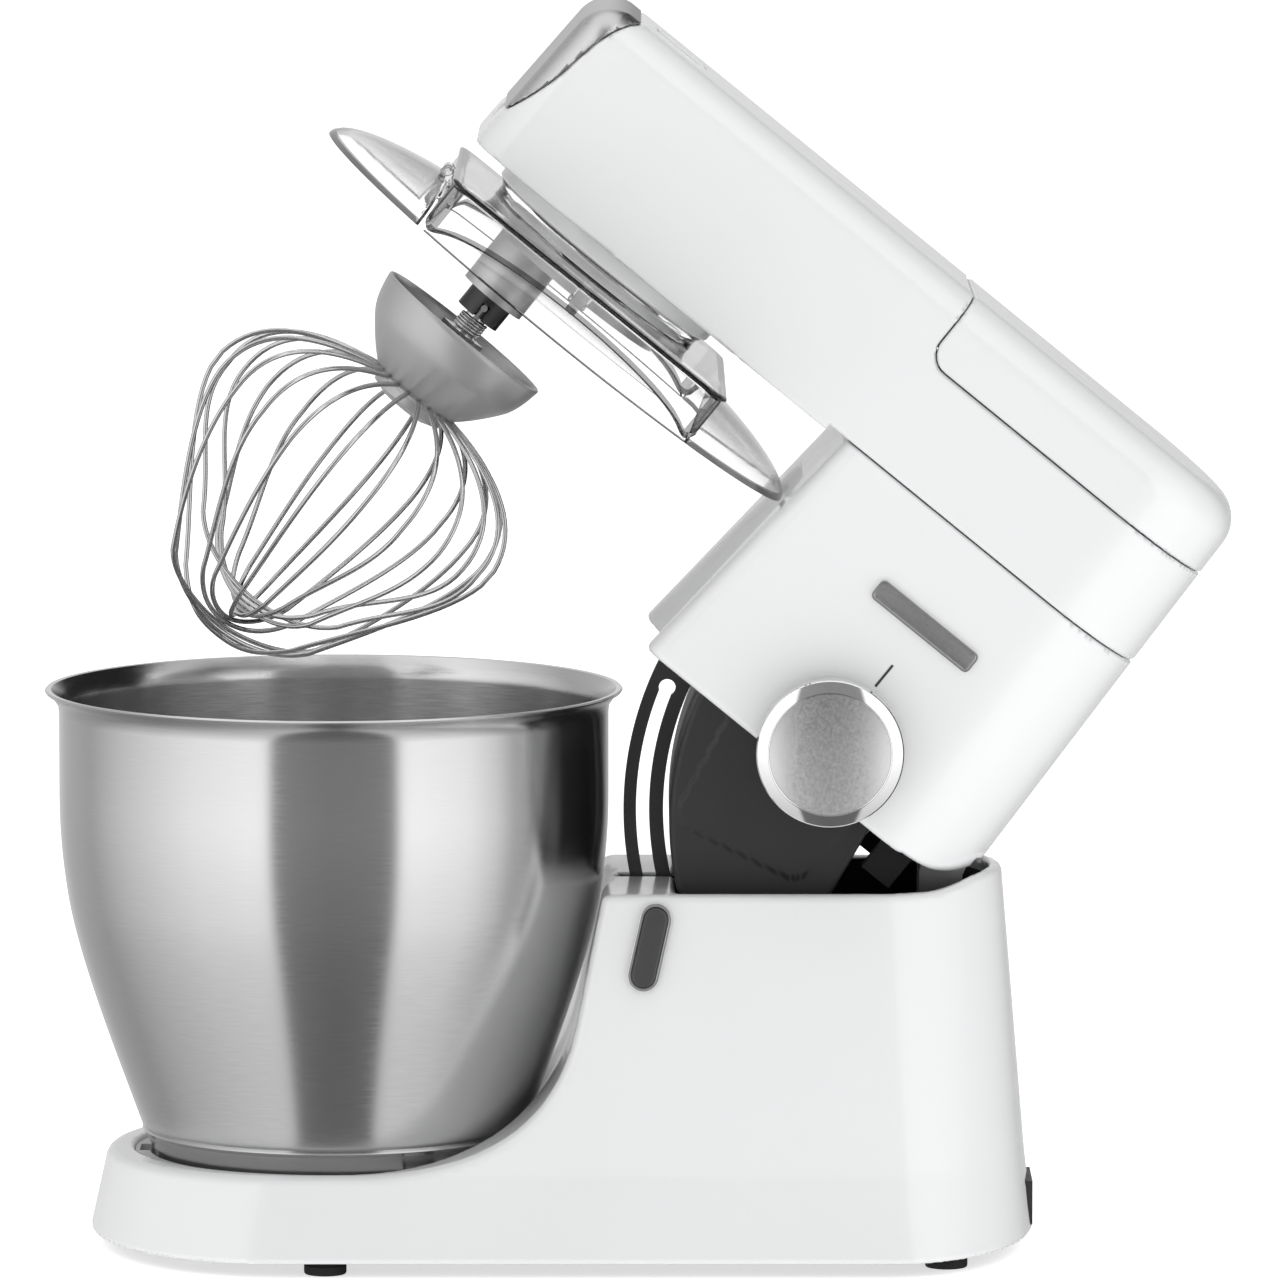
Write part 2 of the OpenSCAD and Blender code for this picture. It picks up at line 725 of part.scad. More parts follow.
module planet_wheel() {
  color("gainsboro") head_pose() {
    difference() {
      translate([0, 0, wheel_z[0]]) rotate([0, 0, 180 / wheel_teeth])
        linear_extrude(wheel_z[1] - wheel_z[0])
          polygon(gear_points(wheel_teeth, 2, 1.5, 2, 2.5));
      rod_z(0, hub_shaft_r, 290, 320);
    }
    for (i = [0:crown_teeth - 1]) rotate([0, 0, 360 * i / crown_teeth])
      block([crown_r[0], -0.7, wheel_z[1] - 0.2], [crown_r[1], 0.7, wheel_z[1] + crown_h]);
  }
}
outlet_pitch_r = (crown_r[0] + crown_r[1]) / 2 * outlet_teeth / crown_teeth;
outlet_z = wheel_z[1] + 1.9 + outlet_pitch_r;
module outlet_shaft() {
  color("lightgray") head_pose() translate([0, 0, outlet_z]) rotate([0, 90, 0]) {
    translate([0, 0, -nose_x + 3.6]) cylinder(r = 6, h = nose_x - 3.6 - 24, $fn = round_fn);
    translate([0, 0, -nose_x + 3.6]) cylinder(r = 12, h = 3, $fn = 6);
    translate([0, 0, -38.5]) rotate([0, 0, 180 / outlet_teeth]) linear_extrude(9)
      polygon(gear_points(outlet_teeth, outlet_pitch_r * 2 / outlet_teeth, 1.1, 1.5, 1.5));
  }
}

// ---- planetary head ----

module planet_boss() {
  color("white") head_pose() rotate_extrude($fn = 96)
    polygon([[46, 274], [51, 274], [51, 280.5], [58, 280.5], [58, 288], [46, 288]]);
}
module ring_gear() {
  color("gray") head_pose() difference() {
    rod_z(0, 46, 275, 287);
    translate([0, 0, 270]) linear_extrude(30) polygon(gear_points(ring_teeth, 1, 0.9, 0.7, 1.9));
  }
}
hub_z = [262, 271.5];
boss_low_z = 236.4;
boss_r = 15.4;
spindle_r = 9;
module planet_hub() {
  color("silver") head_pose() difference() {
    union() {
      rod_z(0, 42, hub_z[0], hub_z[1]);
      rod_z(0, hub_shaft_r, hub_z[0], wheel_z[1] + 1);
      rod_z(-tool_offset, boss_r, boss_low_z, hub_z[0] + 2);
    }
    rod_z(-tool_offset, spindle_r + fit, 200, 264);
    rod_z(-tool_offset, 5 + fit, 200, 300);
  }
}
module planet_pinion() {
  color("gray") head_pose() difference() {
    translate([-tool_offset, 0, 275]) rotate([0, 0, 180]) linear_extrude(10)
      polygon(gear_points(planet_teeth, 1, 0.7, 0.9, 1.2));
    rod_z(-tool_offset, 5, 200, 300);
  }
}
socket_z = 225.8;
bore_top_z = 250;
shank_r = 4.9;
cross_pin_z = 231;
module tool_spindle() {
  color([0.25, 0.25, 0.26]) head_pose() difference() {
    union() {
      rod_z(-tool_offset, 10.5, socket_z, boss_low_z - gap);
      rod_z(-tool_offset, spindle_r, boss_low_z - 1, 263);
      rod_z(-tool_offset, 5, 262, 286);
    }
    rod_z(-tool_offset, shank_r + 0.06, 200, bore_top_z);
    translate([-tool_offset, 0, 0]) block([-2, -12, 200], [2, 12, cross_pin_z + 2]);
  }
}

// ---- whisk ----

hub_rim_z = 216.7;
module whisk_shank() {
  color("lightgray") head_pose() {
    rod_z(-tool_offset, shank_r, 186, bore_top_z - 1);
    translate([-tool_offset, 0, cross_pin_z]) rotate([90, 0, 0])
      cylinder(r = 1.5, h = 19, center = true, $fn = round_fn);
  }
}
module shank_spring() {
  color("silver") head_pose() for (z = [217.6:2:223.6])
    translate([-tool_offset, 0, z]) rotate_extrude($fn = round_fn)
      translate([shank_r + 1.1, 0]) circle(r = 0.9, $fn = 16);
}
module hex_nut() {
  color("lightgray") head_pose() difference() {
    translate([-tool_offset, 0, 208]) cylinder(r = 11, h = 8.4, $fn = 6);
    rod_z(-tool_offset, shank_r, 200, 230);
  }
}
module whisk_hub() {
  color("darkgray") head_pose() translate([-tool_offset, 0, hub_rim_z]) difference() {
    rotate_extrude($fn = 96) difference() {
      polygon(concat(bezier([41.8, 0], [41.5, -14], [32, -31], [20.8, -34.1], 12),
        [[20.8, -38], [12, -42.5], [0, -42.5], [0, 0]]));
      polygon(concat([[39.6, 1]], bezier([39.6, 0], [39, -13], [30, -26], [20, -28.6], 12),
        [[12, -28.6], [12, -9], [0, -9], [0, 1]]));
    }
    translate([0, 0, -31]) cylinder(r = shank_r, h = 40, $fn = round_fn);
  }
}
tip_z = 43.8;
wire_top_z = hub_rim_z - 37;
wire_r = wire_d / 2;
// Half of one loop, from the hub to the tip: [distance from the axis, height].
function loop_side(k) = concat(
  bezier([15, wire_top_z + 4], [48, wire_top_z - 2], [balloon_r - 1, 168],
    [balloon_r - 1.1 * k % 4, 139], 8),
  [for (p = bezier([balloon_r - 1.1 * k % 4, 139], [balloon_r - 1, 106], [47, 50 + k],
    [0, tip_z + wire_r + 1.9 * k], 8)) if (p[0] < 76) p]
);
// A tube of six sides through points in the plane of the loop.
module wire(points) {
  n = len(points);
  rings = [for (i = [0:n - 1]) let (
      d = points[min(i + 1, n - 1)] - points[max(i - 1, 0)],
      u = [-d[1], d[0]] / norm(d)
    ) [for (k = [0:5]) [points[i][0] + wire_r * cos(60 * k) * u[0], wire_r * sin(60 * k),
      points[i][1] + wire_r * cos(60 * k) * u[1]]]];
  polyhedron(
    points = [for (r = rings, p = r) p],
    faces = concat(
      [[for (k = [0:5]) k]],
      [for (i = [0:n - 2], k = [0:5])
        [i * 6 + k, (i + 1) * 6 + k, (i + 1) * 6 + (k + 1) % 6, i * 6 + (k + 1) % 6]],
      [[for (k = [5:-1:0]) (n - 1) * 6 + k]]));
}
module whisk_wires() {
  color("silver") head_pose() translate([-tool_offset, 0, 0])
    for (i = [0:loops - 1]) rotate([0, 0, 180 * i / loops]) {
      half = loop_side(i);
      n = len(half);
      wire(concat(half, [for (k = [n - 2:-1:0]) [-half[k][0], half[k][1]]]));
    }
}

// ---- splash guard ----

box_x = 72;
box_y = 104;
deck_z = [271, 273.4];
flap_x = -76;
flap_pin_x = -77.1;
flap_pin_z = 267.9;
flap_pin_r = 1.2;
knuckle_r = 2.3;
collar_r = [51.6, 54.4];
peg_y = -78;
// Everything under the domed sheet's surface, t below its outside.
module under_dome(t) {
  rotate_extrude($fn = 128) polygon(concat([[0, guard_z - t]],
    [for (a = [0:6:90]) [(guard_r - t) * cos(a), guard_z + (dome_rise - t) * sin(a)]],
    [[guard_r - t, guard_z - t]]));
}
module guard_dome() {
  difference() {
    under_dome(0);
    under_dome(clear_t);
  }
}
module splash_guard() {
  color([0.85, 0.9, 0.92, 0.4]) head_pose() {
    difference() {
      guard_dome();
      block([-box_x, -box_y, 200], [box_x, box_y, 300]);
      block([-200, -200, 200], [flap_x, 200, 300]);
      rod_y(flap_pin_x, flap_pin_z, knuckle_r + 0.4, -10.4, 10.4);
    }
    // The raised box stands on the dome, and is trimmed where its corners pass the rim.
    difference() {
      block([-box_x - clear_t, -box_y - clear_t, guard_z + 0.2],
        [box_x + clear_t, box_y + clear_t, deck_z[1]]);
      block([-box_x, -box_y, 200], [box_x, box_y, deck_z[0]]);
      rod_z(0, 44, 200, 300);
      under_dome(clear_t / 2);
      difference() {
        rod_z(0, 300, 200, 300);
        rod_z(0, guard_r - 0.1, 199, 301);
      }
    }
    tube_z(0, collar_r[0], collar_r[1], deck_z[1] - 0.1, 280);
    both_sides() difference() {
      block([-79, 10.4, 264], [-box_x - 0.1, 14, flap_pin_z + 2.2]);
      rod_y(flap_pin_x, flap_pin_z, flap_pin_r, 0, 20);
    }
    translate([0, peg_y, deck_z[0] - 9]) cylinder(r = 4.5, h = 9.1, $fn = round_fn);
    translate([0, peg_y, deck_z[0] - 13]) cylinder(r = 2.6, h = 5, $fn = round_fn);
  }
}
module feed_flap() {
  color([0.85, 0.9, 0.92, 0.4]) head_pose() difference() {
    union() {
      difference() {
        guard_dome();
        block([flap_x - gap, -200, 200], [200, 200, 300]);
        both_sides() block([-79.4, 10, 262], [-70, 14.4, 275]);
      }
      rod_y(flap_pin_x, flap_pin_z, knuckle_r, -10, 10);
      block([-79, -10, 263.6], [flap_pin_x, 10, flap_pin_z]);
    }
    rod_y(flap_pin_x, flap_pin_z, flap_pin_r + fit, -20, 20);
  }
}
module flap_pin() {
  color([0.8, 0.85, 0.87]) head_pose() rod_y(flap_pin_x, flap_pin_z, flap_pin_r, -14.4, 14.4);
}

base_housing();
base_plate();
rubber_feet();
base_screws();
bowl_seat();
hinge_bracket();
hinge_pin();
latch_bearing();
cord_inlet();
release_lever();
lever_rim();
latch_shaft();
lever_spring();
bowl();
bowl_foot();
head_lower_housing();
head_upper_housing();
head_chassis();
head_screws();
hinge_stops();
hinge_bushes();
badge_rim();
badge_plate();
dial_mark();
latch_plate();
quadrant_cover();
motor_stator();
motor_windings();
motor_brushes();
motor_bearings();
drive_belt();
ring_gear();
planet_boss();
speed_board();
speed_knob();
knob_disc();
knob_shaft();
motor_rotor();
commutator();
motor_fan();
motor_pulley();
gearbox_pulley();
gearbox_shaft();
planet_wheel();
planet_hub();
planet_pinion();
tool_spindle();
outlet_shaft();
whisk_shank();
shank_spring();
hex_nut();
whisk_hub();
whisk_wires();
splash_guard();
feed_flap();
flap_pin();
top_cover();
nose_cap();
outlet_catch();
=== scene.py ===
import json
import math

import bmesh
import bpy
import numpy as np
from mathutils import Matrix, Vector


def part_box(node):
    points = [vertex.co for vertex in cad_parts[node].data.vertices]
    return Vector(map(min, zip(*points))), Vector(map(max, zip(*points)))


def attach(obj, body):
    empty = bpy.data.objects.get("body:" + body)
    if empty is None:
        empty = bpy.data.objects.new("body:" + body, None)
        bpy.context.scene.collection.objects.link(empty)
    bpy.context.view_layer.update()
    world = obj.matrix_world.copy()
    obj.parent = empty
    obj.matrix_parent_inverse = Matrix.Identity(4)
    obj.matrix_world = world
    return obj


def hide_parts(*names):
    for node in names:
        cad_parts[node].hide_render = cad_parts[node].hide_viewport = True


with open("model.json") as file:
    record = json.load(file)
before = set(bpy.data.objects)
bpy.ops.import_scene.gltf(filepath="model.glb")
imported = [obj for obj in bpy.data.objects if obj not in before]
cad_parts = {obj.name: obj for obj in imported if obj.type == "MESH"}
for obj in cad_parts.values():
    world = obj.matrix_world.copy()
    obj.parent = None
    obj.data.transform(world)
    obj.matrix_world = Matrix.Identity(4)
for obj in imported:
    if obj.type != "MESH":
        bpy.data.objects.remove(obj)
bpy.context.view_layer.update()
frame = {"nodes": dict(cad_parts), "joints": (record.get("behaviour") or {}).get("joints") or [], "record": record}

# ---- the shared frame ----
# Lengths are millimetres from the bowl's axis and from the table, unless they end in _M.
# Head pieces are drawn with the head closed, and HEAD raises them about the hinge.

bowl_low, bowl_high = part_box("bowl")
BOWL_X_M = (bowl_low.x + bowl_high.x) / 2
tilt_joint = next(j for j in frame["joints"] if j["name"] == "head_tilt")
HINGE_M = Vector(tilt_joint["pos_m"])
TILT = math.radians(tilt_joint["range_deg"][1])
HINGE_X = (HINGE_M.x - BOWL_X_M) * 1000
HINGE_Z = HINGE_M.z * 1000
BASE = Matrix.Translation((BOWL_X_M, 0, 0)) @ Matrix.Scale(0.001, 4)
HEAD = (
    Matrix.Translation(HINGE_M)
    @ Matrix.Rotation(TILT, 4, "Y")
    @ Matrix.Translation(-HINGE_M)
    @ BASE
)

# ---- camera, at the photograph's viewing angle ----

VIEW_ELEVATION = math.radians(6.46)
VIEW_DISTANCE_M = 5.0
VIEW_CENTRE_M = Vector((BOWL_X_M + 0.1346, 0, 0.2663))
camera_data = bpy.data.cameras.new("camera")
camera_data.lens = 320
camera_data.sensor_width = 36
camera_data.clip_end = 300
camera = bpy.data.objects.new("camera", camera_data)
camera.rotation_euler = (math.pi / 2 - VIEW_ELEVATION, 0, 0)
camera.location = VIEW_CENTRE_M + VIEW_DISTANCE_M * Vector(
    (0, -math.cos(VIEW_ELEVATION), math.sin(VIEW_ELEVATION))
)
bpy.context.scene.collection.objects.link(camera)
bpy.context.scene.camera = camera


# ---- materials ----


class Nodes:
    """A material's node tree, with short ways to add and join nodes."""

    def __init__(self, name):
        self.material = bpy.data.materials.new(name)
        self.material.use_nodes = True
        self.tree = self.material.node_tree
        self.shader = self.tree.nodes["Principled BSDF"]

    def add(self, kind, inputs=(), **settings):
        node = self.tree.nodes.new(kind)
        for key, value in settings.items():
            setattr(node, key, value)
        for key, value in dict(inputs).items():
            if isinstance(value, bpy.types.NodeSocket):
                self.tree.links.new(value, node.inputs[key])
            else:
                node.inputs[key].default_value = value
        return node

    def set(self, **sockets):
        for key, value in sockets.items():
            socket = self.shader.inputs[key.replace("_", " ")]
            if isinstance(value, bpy.types.NodeSocket):
                self.tree.links.new(value, socket)
            else:
                socket.default_value = value

    def math(self, operation, a, b=0.0):
        return self.add("ShaderNodeMath", {0: a, 1: b}, operation=operation).outputs[0]

    def noise(self, vector, scale, detail=2.0):
        inputs = {"Vector": vector, "Scale": scale, "Detail": detail}
        return self.add("ShaderNodeTexNoise", inputs).outputs["Fac"]

    def place(self):
        return self.add("ShaderNodeTexCoord").outputs["Object"]

    def blend(self, share, low, high):
        ramp = self.add("ShaderNodeValToRGB", {"Fac": share})
        for stop, position, colour in zip(ramp.color_ramp.elements, (0.3, 0.7), (low, high)):
            stop.position = position
            stop.color = (*colour, 1)
        return ramp.outputs["Color"]

    def spread(self, share, low, high):
        inputs = {"Value": share, "From Min": 0.3, "From Max": 0.7, "To Min": low, "To Max": high}
        return self.add("ShaderNodeMapRange", inputs).outputs["Result"]

    def bump(self, height, depth_m, strength=1.0):
        inputs = {"Height": height, "Distance": depth_m, "Strength": strength}
        return self.add("ShaderNodeBump", inputs).outputs["Normal"]


def grey(level, warm=0.0):
    return (level + warm, level, level - warm)


def moulded(name, colour, rough, spread=0.02, grain=900, depth_m=0.00001, **sockets):
    """Plastic or rubber: a little uneven in colour and gloss, with a fine moulded grain."""
    n = Nodes(name)
    place = n.place()
    large = n.noise(place, 9)
    fine = n.noise(place, grain)
    low = tuple(c * (1 - spread) for c in colour)
    n.set(
        Base_Color=n.blend(large, low, colour),
        Roughness=n.spread(n.noise(place, 60), rough * 0.88, rough * 1.12),
        Normal=n.bump(fine, depth_m),
        **sockets,
    )
    return n.material


def metal(name, colour, rough, spread=0.06, stretch=(1, 1, 1), grain=700, depth_m=0.000006, **sockets):
    """Metal with a fine grain, drawn out by stretch where it is brushed."""
    n = Nodes(name)
    place = n.add("ShaderNodeMapping", {"Vector": n.place(), "Scale": stretch}).outputs[0]
    fine = n.noise(place, grain, 3)
    low = tuple(c * (1 - spread) for c in colour)
    n.set(
        Base_Color=n.blend(fine, low, colour),
        Metallic=1.0,
        Roughness=n.spread(fine, rough * 0.8, rough * 1.2),
        Normal=n.bump(fine, depth_m),
        **sockets,
    )
    return n.material


def spun_steel(name, colour, rough):
    """Steel brushed round the bowl's axis: fine rings, and reflections drawn out up and down."""
    n = Nodes(name)
    centre = n.add("ShaderNodeMapping", {"Vector": n.place(), "Location": (-BOWL_X_M, 0, 0)})
    split = n.add("ShaderNodeSeparateXYZ", {0: centre.outputs[0]})
    x, y, z = (split.outputs[i] for i in range(3))
    turn = n.math("ARCTAN2", x, n.math("MULTIPLY", y, -1.0))
    rings = n.add("ShaderNodeCombineXYZ", {0: n.math("MULTIPLY", turn, 0.6), 1: n.math("MULTIPLY", z, 160.0)})
    line = n.noise(rings.outputs[0], 14, 6)
    tangent = n.add("ShaderNodeTangent", direction_type="RADIAL", axis="Z").outputs[0]
    low = tuple(c * 0.94 for c in colour)
    n.set(
        Base_Color=n.blend(line, low, colour),
        Metallic=1.0,
        Roughness=n.spread(line, rough * 0.85, rough * 1.15),
        Anisotropic=0.85,
        Anisotropic_Rotation=0.25,
        Tangent=tangent,
        Normal=n.bump(line, 0.000012),
    )
    return n.material


def clear(name, tint):
    """Clear plastic sheet."""
    n = Nodes(name)
    place = n.place()
    n.set(
        Base_Color=n.blend(n.noise(place, 12), grey(tint * 0.98), grey(tint)),
        Roughness=n.spread(n.noise(place, 40), 0.01, 0.04),
        IOR=1.49,
        Transmission_Weight=1.0,
        Normal=n.bump(n.noise(place, 25), 0.00002),
    )
    return n.material


SURFACES = {
    "white_casing": moulded("white_casing", (0.86, 0.865, 0.87), 0.2, Coat_Weight=0.4, Coat_Roughness=0.06),
    "dark_plastic": moulded("dark_plastic", grey(0.032), 0.5, spread=0.2, depth_m=0.00003),
    "dark_metal": metal("dark_metal", grey(0.12), 0.38),
    "lever_grey": moulded("lever_grey", grey(0.06), 0.42, spread=0.12),
    "black_plastic": moulded("black_plastic", grey(0.008), 0.45, spread=0.3),
    "seat_grey": moulded("seat_grey", grey(0.5), 0.4),
    "foot_rubber": moulded("foot_rubber", grey(0.012), 0.75, spread=0.3, depth_m=0.00005),
    "bowl_steel": spun_steel("bowl_steel", grey(0.68), 0.22),
    "bracket_steel": metal("bracket_steel", grey(0.5), 0.35, stretch=(1, 1, 12)),
    "chrome_trim": metal("chrome_trim", grey(0.82), 0.07, spread=0.02, depth_m=0.000001),
    "satin_silver": metal("satin_silver", grey(0.62), 0.34),
    "mark_grey": moulded("mark_grey", grey(0.05), 0.5, spread=0.1),
    "cast_metal": metal("cast_metal", grey(0.5), 0.5, grain=300, depth_m=0.00003),
    "bronze": metal("bronze", (0.5, 0.33, 0.15), 0.45),
    "iron_core": metal("iron_core", grey(0.2), 0.55, stretch=(1, 1, 20)),
    "copper": metal("copper", (0.62, 0.26, 0.12), 0.3, stretch=(1, 1, 8)),
    "gear_steel": metal("gear_steel", grey(0.45), 0.32),
    "fan_plastic": moulded("fan_plastic", grey(0.05), 0.5, spread=0.15),
    "wheel_nylon": moulded("wheel_nylon", (0.75, 0.74, 0.68), 0.45),
    "board_green": moulded("board_green", (0.03, 0.16, 0.07), 0.35, spread=0.25),
    "hub_silver": metal("hub_silver", grey(0.55), 0.42),
    "socket_dark": metal("socket_dark", grey(0.07), 0.35),
    "tool_steel": metal("tool_steel", grey(0.6), 0.16, stretch=(1, 1, 6)),
    "hub_grey": moulded("hub_grey", grey(0.5), 0.36, Metallic=0.6),
    "clear_plastic": clear("clear_plastic", 0.96),
}
# The clear sheets look dark along their edges, where the light runs inside them; this dark clear surface paints that
# shade onto their rims, lips and corners.
SURFACES["clear_painted_shade"] = clear("clear_painted_shade", 0.13)
# A lighter copy of the satin silver for the knob's face: painted light, for the bright reflection its dish shows.
SURFACES["knob_lit_silver"] = metal("knob_lit_silver", grey(0.86), 0.36, spread=0.01, depth_m=0.0000004)
for row in frame["record"]["subparts"]:
    mesh = frame["nodes"][row["node"]].data
    mesh.materials.clear()
    mesh.materials.append(SURFACES[row["material_slot"]])


# ---- making pieces ----


def piece(name, body, slot, verts, faces, place, stands_for=(), normals=None, crease=35, paint=None):
    """A mesh piece from points in millimetres. paint gives some faces a second surface."""
    verts = np.asarray(verts, float)
    spot = np.array(place)
    world = verts @ spot[:3, :3].T + spot[:3, 3]
    mesh = bpy.data.meshes.new(name)
    mesh.from_pydata(world.tolist(), [], [tuple(f) for f in faces])
    mesh.validate()
    mesh.shade_smooth()
    mesh.materials.append(SURFACES[slot])
    if normals is None:
        mesh.set_sharp_from_angle(angle=math.radians(crease))
    else:
        turned = normals @ spot[:3, :3].T
        turned /= np.linalg.norm(turned, axis=1, keepdims=True)
        mesh.normals_split_custom_set_from_vertices(turned.tolist())
    if paint:
        second, chosen = paint
        mesh.materials.append(SURFACES[second])
        if callable(chosen):
            chosen = chosen(*np.array([verts[list(f)].mean(0) for f in faces]).T)
        mesh.polygons.foreach_set("material_index", np.asarray(chosen, np.int32))
    obj = bpy.data.objects.new(name, mesh)
    bpy.context.scene.collection.objects.link(obj)
    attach(obj, body)
    if stands_for:
        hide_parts(*stands_for)
    return obj


def rounded(points, radius, steps=4, closed=True):
    """The outline with its corners rounded. radius is one number, or one for each corner."""
    points = [np.array(p, float) for p in points]
    radii = radius if hasattr(radius, "__len__") else [radius] * len(points)
    made = []
    for i, (p, r) in enumerate(zip(points, radii)):
        at_end = not closed and i in (0, len(points) - 1)
        before, after = points[i - 1] - p, points[(i + 1) % len(points)] - p
        a, b = np.linalg.norm(before), np.linalg.norm(after)
        turn = math.acos(np.clip(before @ after / max(a * b, 1e-9), -1, 1))
        if at_end or r == 0 or turn > math.radians(172):
            made.append(p)
            continue
        back = min(r / math.tan(turn / 2), 0.45 * a, 0.45 * b)
        start, end = p + before / a * back, p + after / b * back
        for t in np.linspace(0, 1, steps):
            made.append((1 - t) ** 2 * start + 2 * t * (1 - t) * p + t * t * end)
    return made


def bezier(a, b, c, d, count):
    t = np.linspace(0, 1, count + 1)[:, None]
    a, b, c, d = (np.array(p, float) for p in (a, b, c, d))
    return (1 - t) ** 3 * a + 3 * (1 - t) ** 2 * t * b + 3 * (1 - t) * t * t * c + t ** 3 * d


def revolved(profile, count=160):
    """A closed surface from a closed [radius, height] profile. Points on the axis merge."""
    angles = np.linspace(0, 2 * math.pi, count, endpoint=False)
    verts, rows = [], []
    for r, z in profile:
        if r < 1e-6:
            rows.append([len(verts)] * count)
            verts.append((0, 0, z))
        else:
            rows.append(list(range(len(verts), len(verts) + count)))
            verts += [(r * math.cos(a), r * math.sin(a), z) for a in angles]
    faces = []
    for i, row in enumerate(rows):
        above = rows[(i + 1) % len(rows)]
        for k in range(count):
            m = (k + 1) % count
            corners = [row[k], row[m], above[m], above[k]]
            corners = list(dict.fromkeys(corners))
            if len(corners) > 2:
                faces.append(corners)
    return np.array(verts), faces


def along(axis_point, direction):
    """A place whose Z axis runs along direction, from axis_point."""
    turn = Vector(direction).to_track_quat("Z", "Y").to_matrix().to_4x4()
    return Matrix.Translation(axis_point) @ turn


def slab(outline, y0, y1, bevel, steps=3):
    """A plate from an [x, z] outline, between y0 and y1, with its edges rounded by bevel."""
    points = np.array(outline, float)
    ahead, behind = np.roll(points, -1, 0), np.roll(points, 1, 0)
    run = ahead - behind
    out = np.stack([run[:, 1], -run[:, 0]], -1)
    out /= np.linalg.norm(out, axis=1, keepdims=True)
    area = (points[:, 0] * ahead[:, 1] - ahead[:, 0] * points[:, 1]).sum()
    out *= math.copysign(1, area)
    levels = []
    for a in np.linspace(0, math.pi / 2, steps + 1):
        levels.append((bevel * (1 - math.sin(a)), y0 + bevel * (1 - math.cos(a))))
    levels += [(inset, y1 - (y - y0)) for inset, y in reversed(levels)]
    n = len(points)
    verts = []
    for inset, y in levels:
        verts += [(x, y, z) for x, z in points - out * inset]
    faces = [list(range(n)), list(range((len(levels) - 1) * n, len(levels) * n))[::-1]]
    for i in range(len(levels) - 1):
        for k in range(n):
            m = (k + 1) % n
            faces.append([i * n + k, i * n + m, (i + 1) * n + m, (i + 1) * n + k][::-1])
    return np.array(verts), faces


def merged(parts):
    """Several (points, faces) as one."""
    verts, faces = [], []
    for points, polygons in parts:
        shift = sum(len(v) for v in verts)
        verts.append(np.asarray(points, float))
        faces += [[i + shift for i in f] for f in polygons]
    return np.vstack(verts), faces


def tube(points, radius, sides=10, closed=True):
    """A round wire along points, with frames that turn as little as possible."""
    points = np.array(points, float)
    if closed:
        ahead, behind = np.roll(points, -1, 0), np.roll(points, 1, 0)
    else:
        ahead = np.vstack([points[1:], points[-1:]])
        behind = np.vstack([points[:1], points[:-1]])
    run = ahead - behind
    run /= np.linalg.norm(run, axis=1, keepdims=True)
    side = np.cross(run[0], (0.3, 0.9, 0.1))
    verts = []
    for p, d in zip(points, run):
        side = side - (side @ d) * d
        side /= np.linalg.norm(side)
        up = np.cross(d, side)
        for a in np.linspace(0, 2 * math.pi, sides, endpoint=False):
            verts.append(p + radius * (math.cos(a) * side + math.sin(a) * up))
    n = len(points)
    faces = []
    for i in range(n if closed else n - 1):
        j = (i + 1) % n
        for k in range(sides):
            m = (k + 1) % sides
            faces.append([i * sides + k, i * sides + m, j * sides + m, j * sides + k])
    if not closed:
        faces.append(list(range(sides))[::-1])
        faces.append([(n - 1) * sides + k for k in range(sides)])
    return np.array(verts), faces


# ---- rounded solids, each the inside of a distance field ----


def meet(a, b, r=1.0):
    """Where both fields are solid, with the edge rounded by r."""
    return np.minimum(-r, np.maximum(a, b)) + np.hypot(np.maximum(r + a, 0), np.maximum(r + b, 0))


def cut(a, b, r=1.0):
    """Field a with field b taken away."""
    return meet(a, -b, r)


def join(a, b, r=1.0):
    """Both fields together, with a fillet of r."""
    return np.maximum(r, np.minimum(a, b)) - np.hypot(np.maximum(r - a, 0), np.maximum(r - b, 0))


def box(x, y, z, low, high):
    """Distance outside a box with sharp edges."""
    return np.maximum(
        np.maximum(np.maximum(low[0] - x, x - high[0]), np.maximum(low[1] - y, y - high[1])),
        np.maximum(low[2] - z, z - high[2]),
    )


def ended(x, y, front, front_round, rear, rear_round, half):
    """Distance outside a plan with straight sides and half ellipses at its ends."""
    past_front = np.maximum(front - x, 0)
    run = past_front + np.maximum(x - rear, 0)
    axis = np.where(past_front > 0, front_round, rear_round)
    k = np.hypot(run / axis, y / half)
    m = np.hypot(run / axis ** 2, y / half ** 2)
    return (k - 1) * np.where(m > 1e-7, k / np.maximum(m, 1e-7), half)


def outline_field(points):
    """Signed distance to a closed outline, as a function of two coordinates."""
    a = np.array(points, float)
    b = np.roll(a, -1, 0)

    def distance(u, v):
        u, v = np.broadcast_arrays(u, v)
        best = np.full(u.shape, 1e12)
        inside = np.zeros(u.shape, bool)
        for (u0, v0), (u1, v1) in zip(a, b):
            du, dv = u1 - u0, v1 - v0
            t = np.clip(((u - u0) * du + (v - v0) * dv) / (du * du + dv * dv), 0, 1)
            best = np.minimum(best, (u - u0 - t * du) ** 2 + (v - v0 - t * dv) ** 2)
            if dv:
                inside ^= ((v0 > v) != (v1 > v)) & (u < du * (v - v0) / dv + u0)
        return np.where(inside, -1, 1) * np.sqrt(best)

    return distance


def slope(field, points, step=0.05):
    """Gradient of a field at points."""
    parts = []
    for axis in range(3):
        move = np.zeros(3)
        move[axis] = step
        parts.append((field(*(points + move).T) - field(*(points - move).T)) / (2 * step))
    return np.stack(parts, -1)


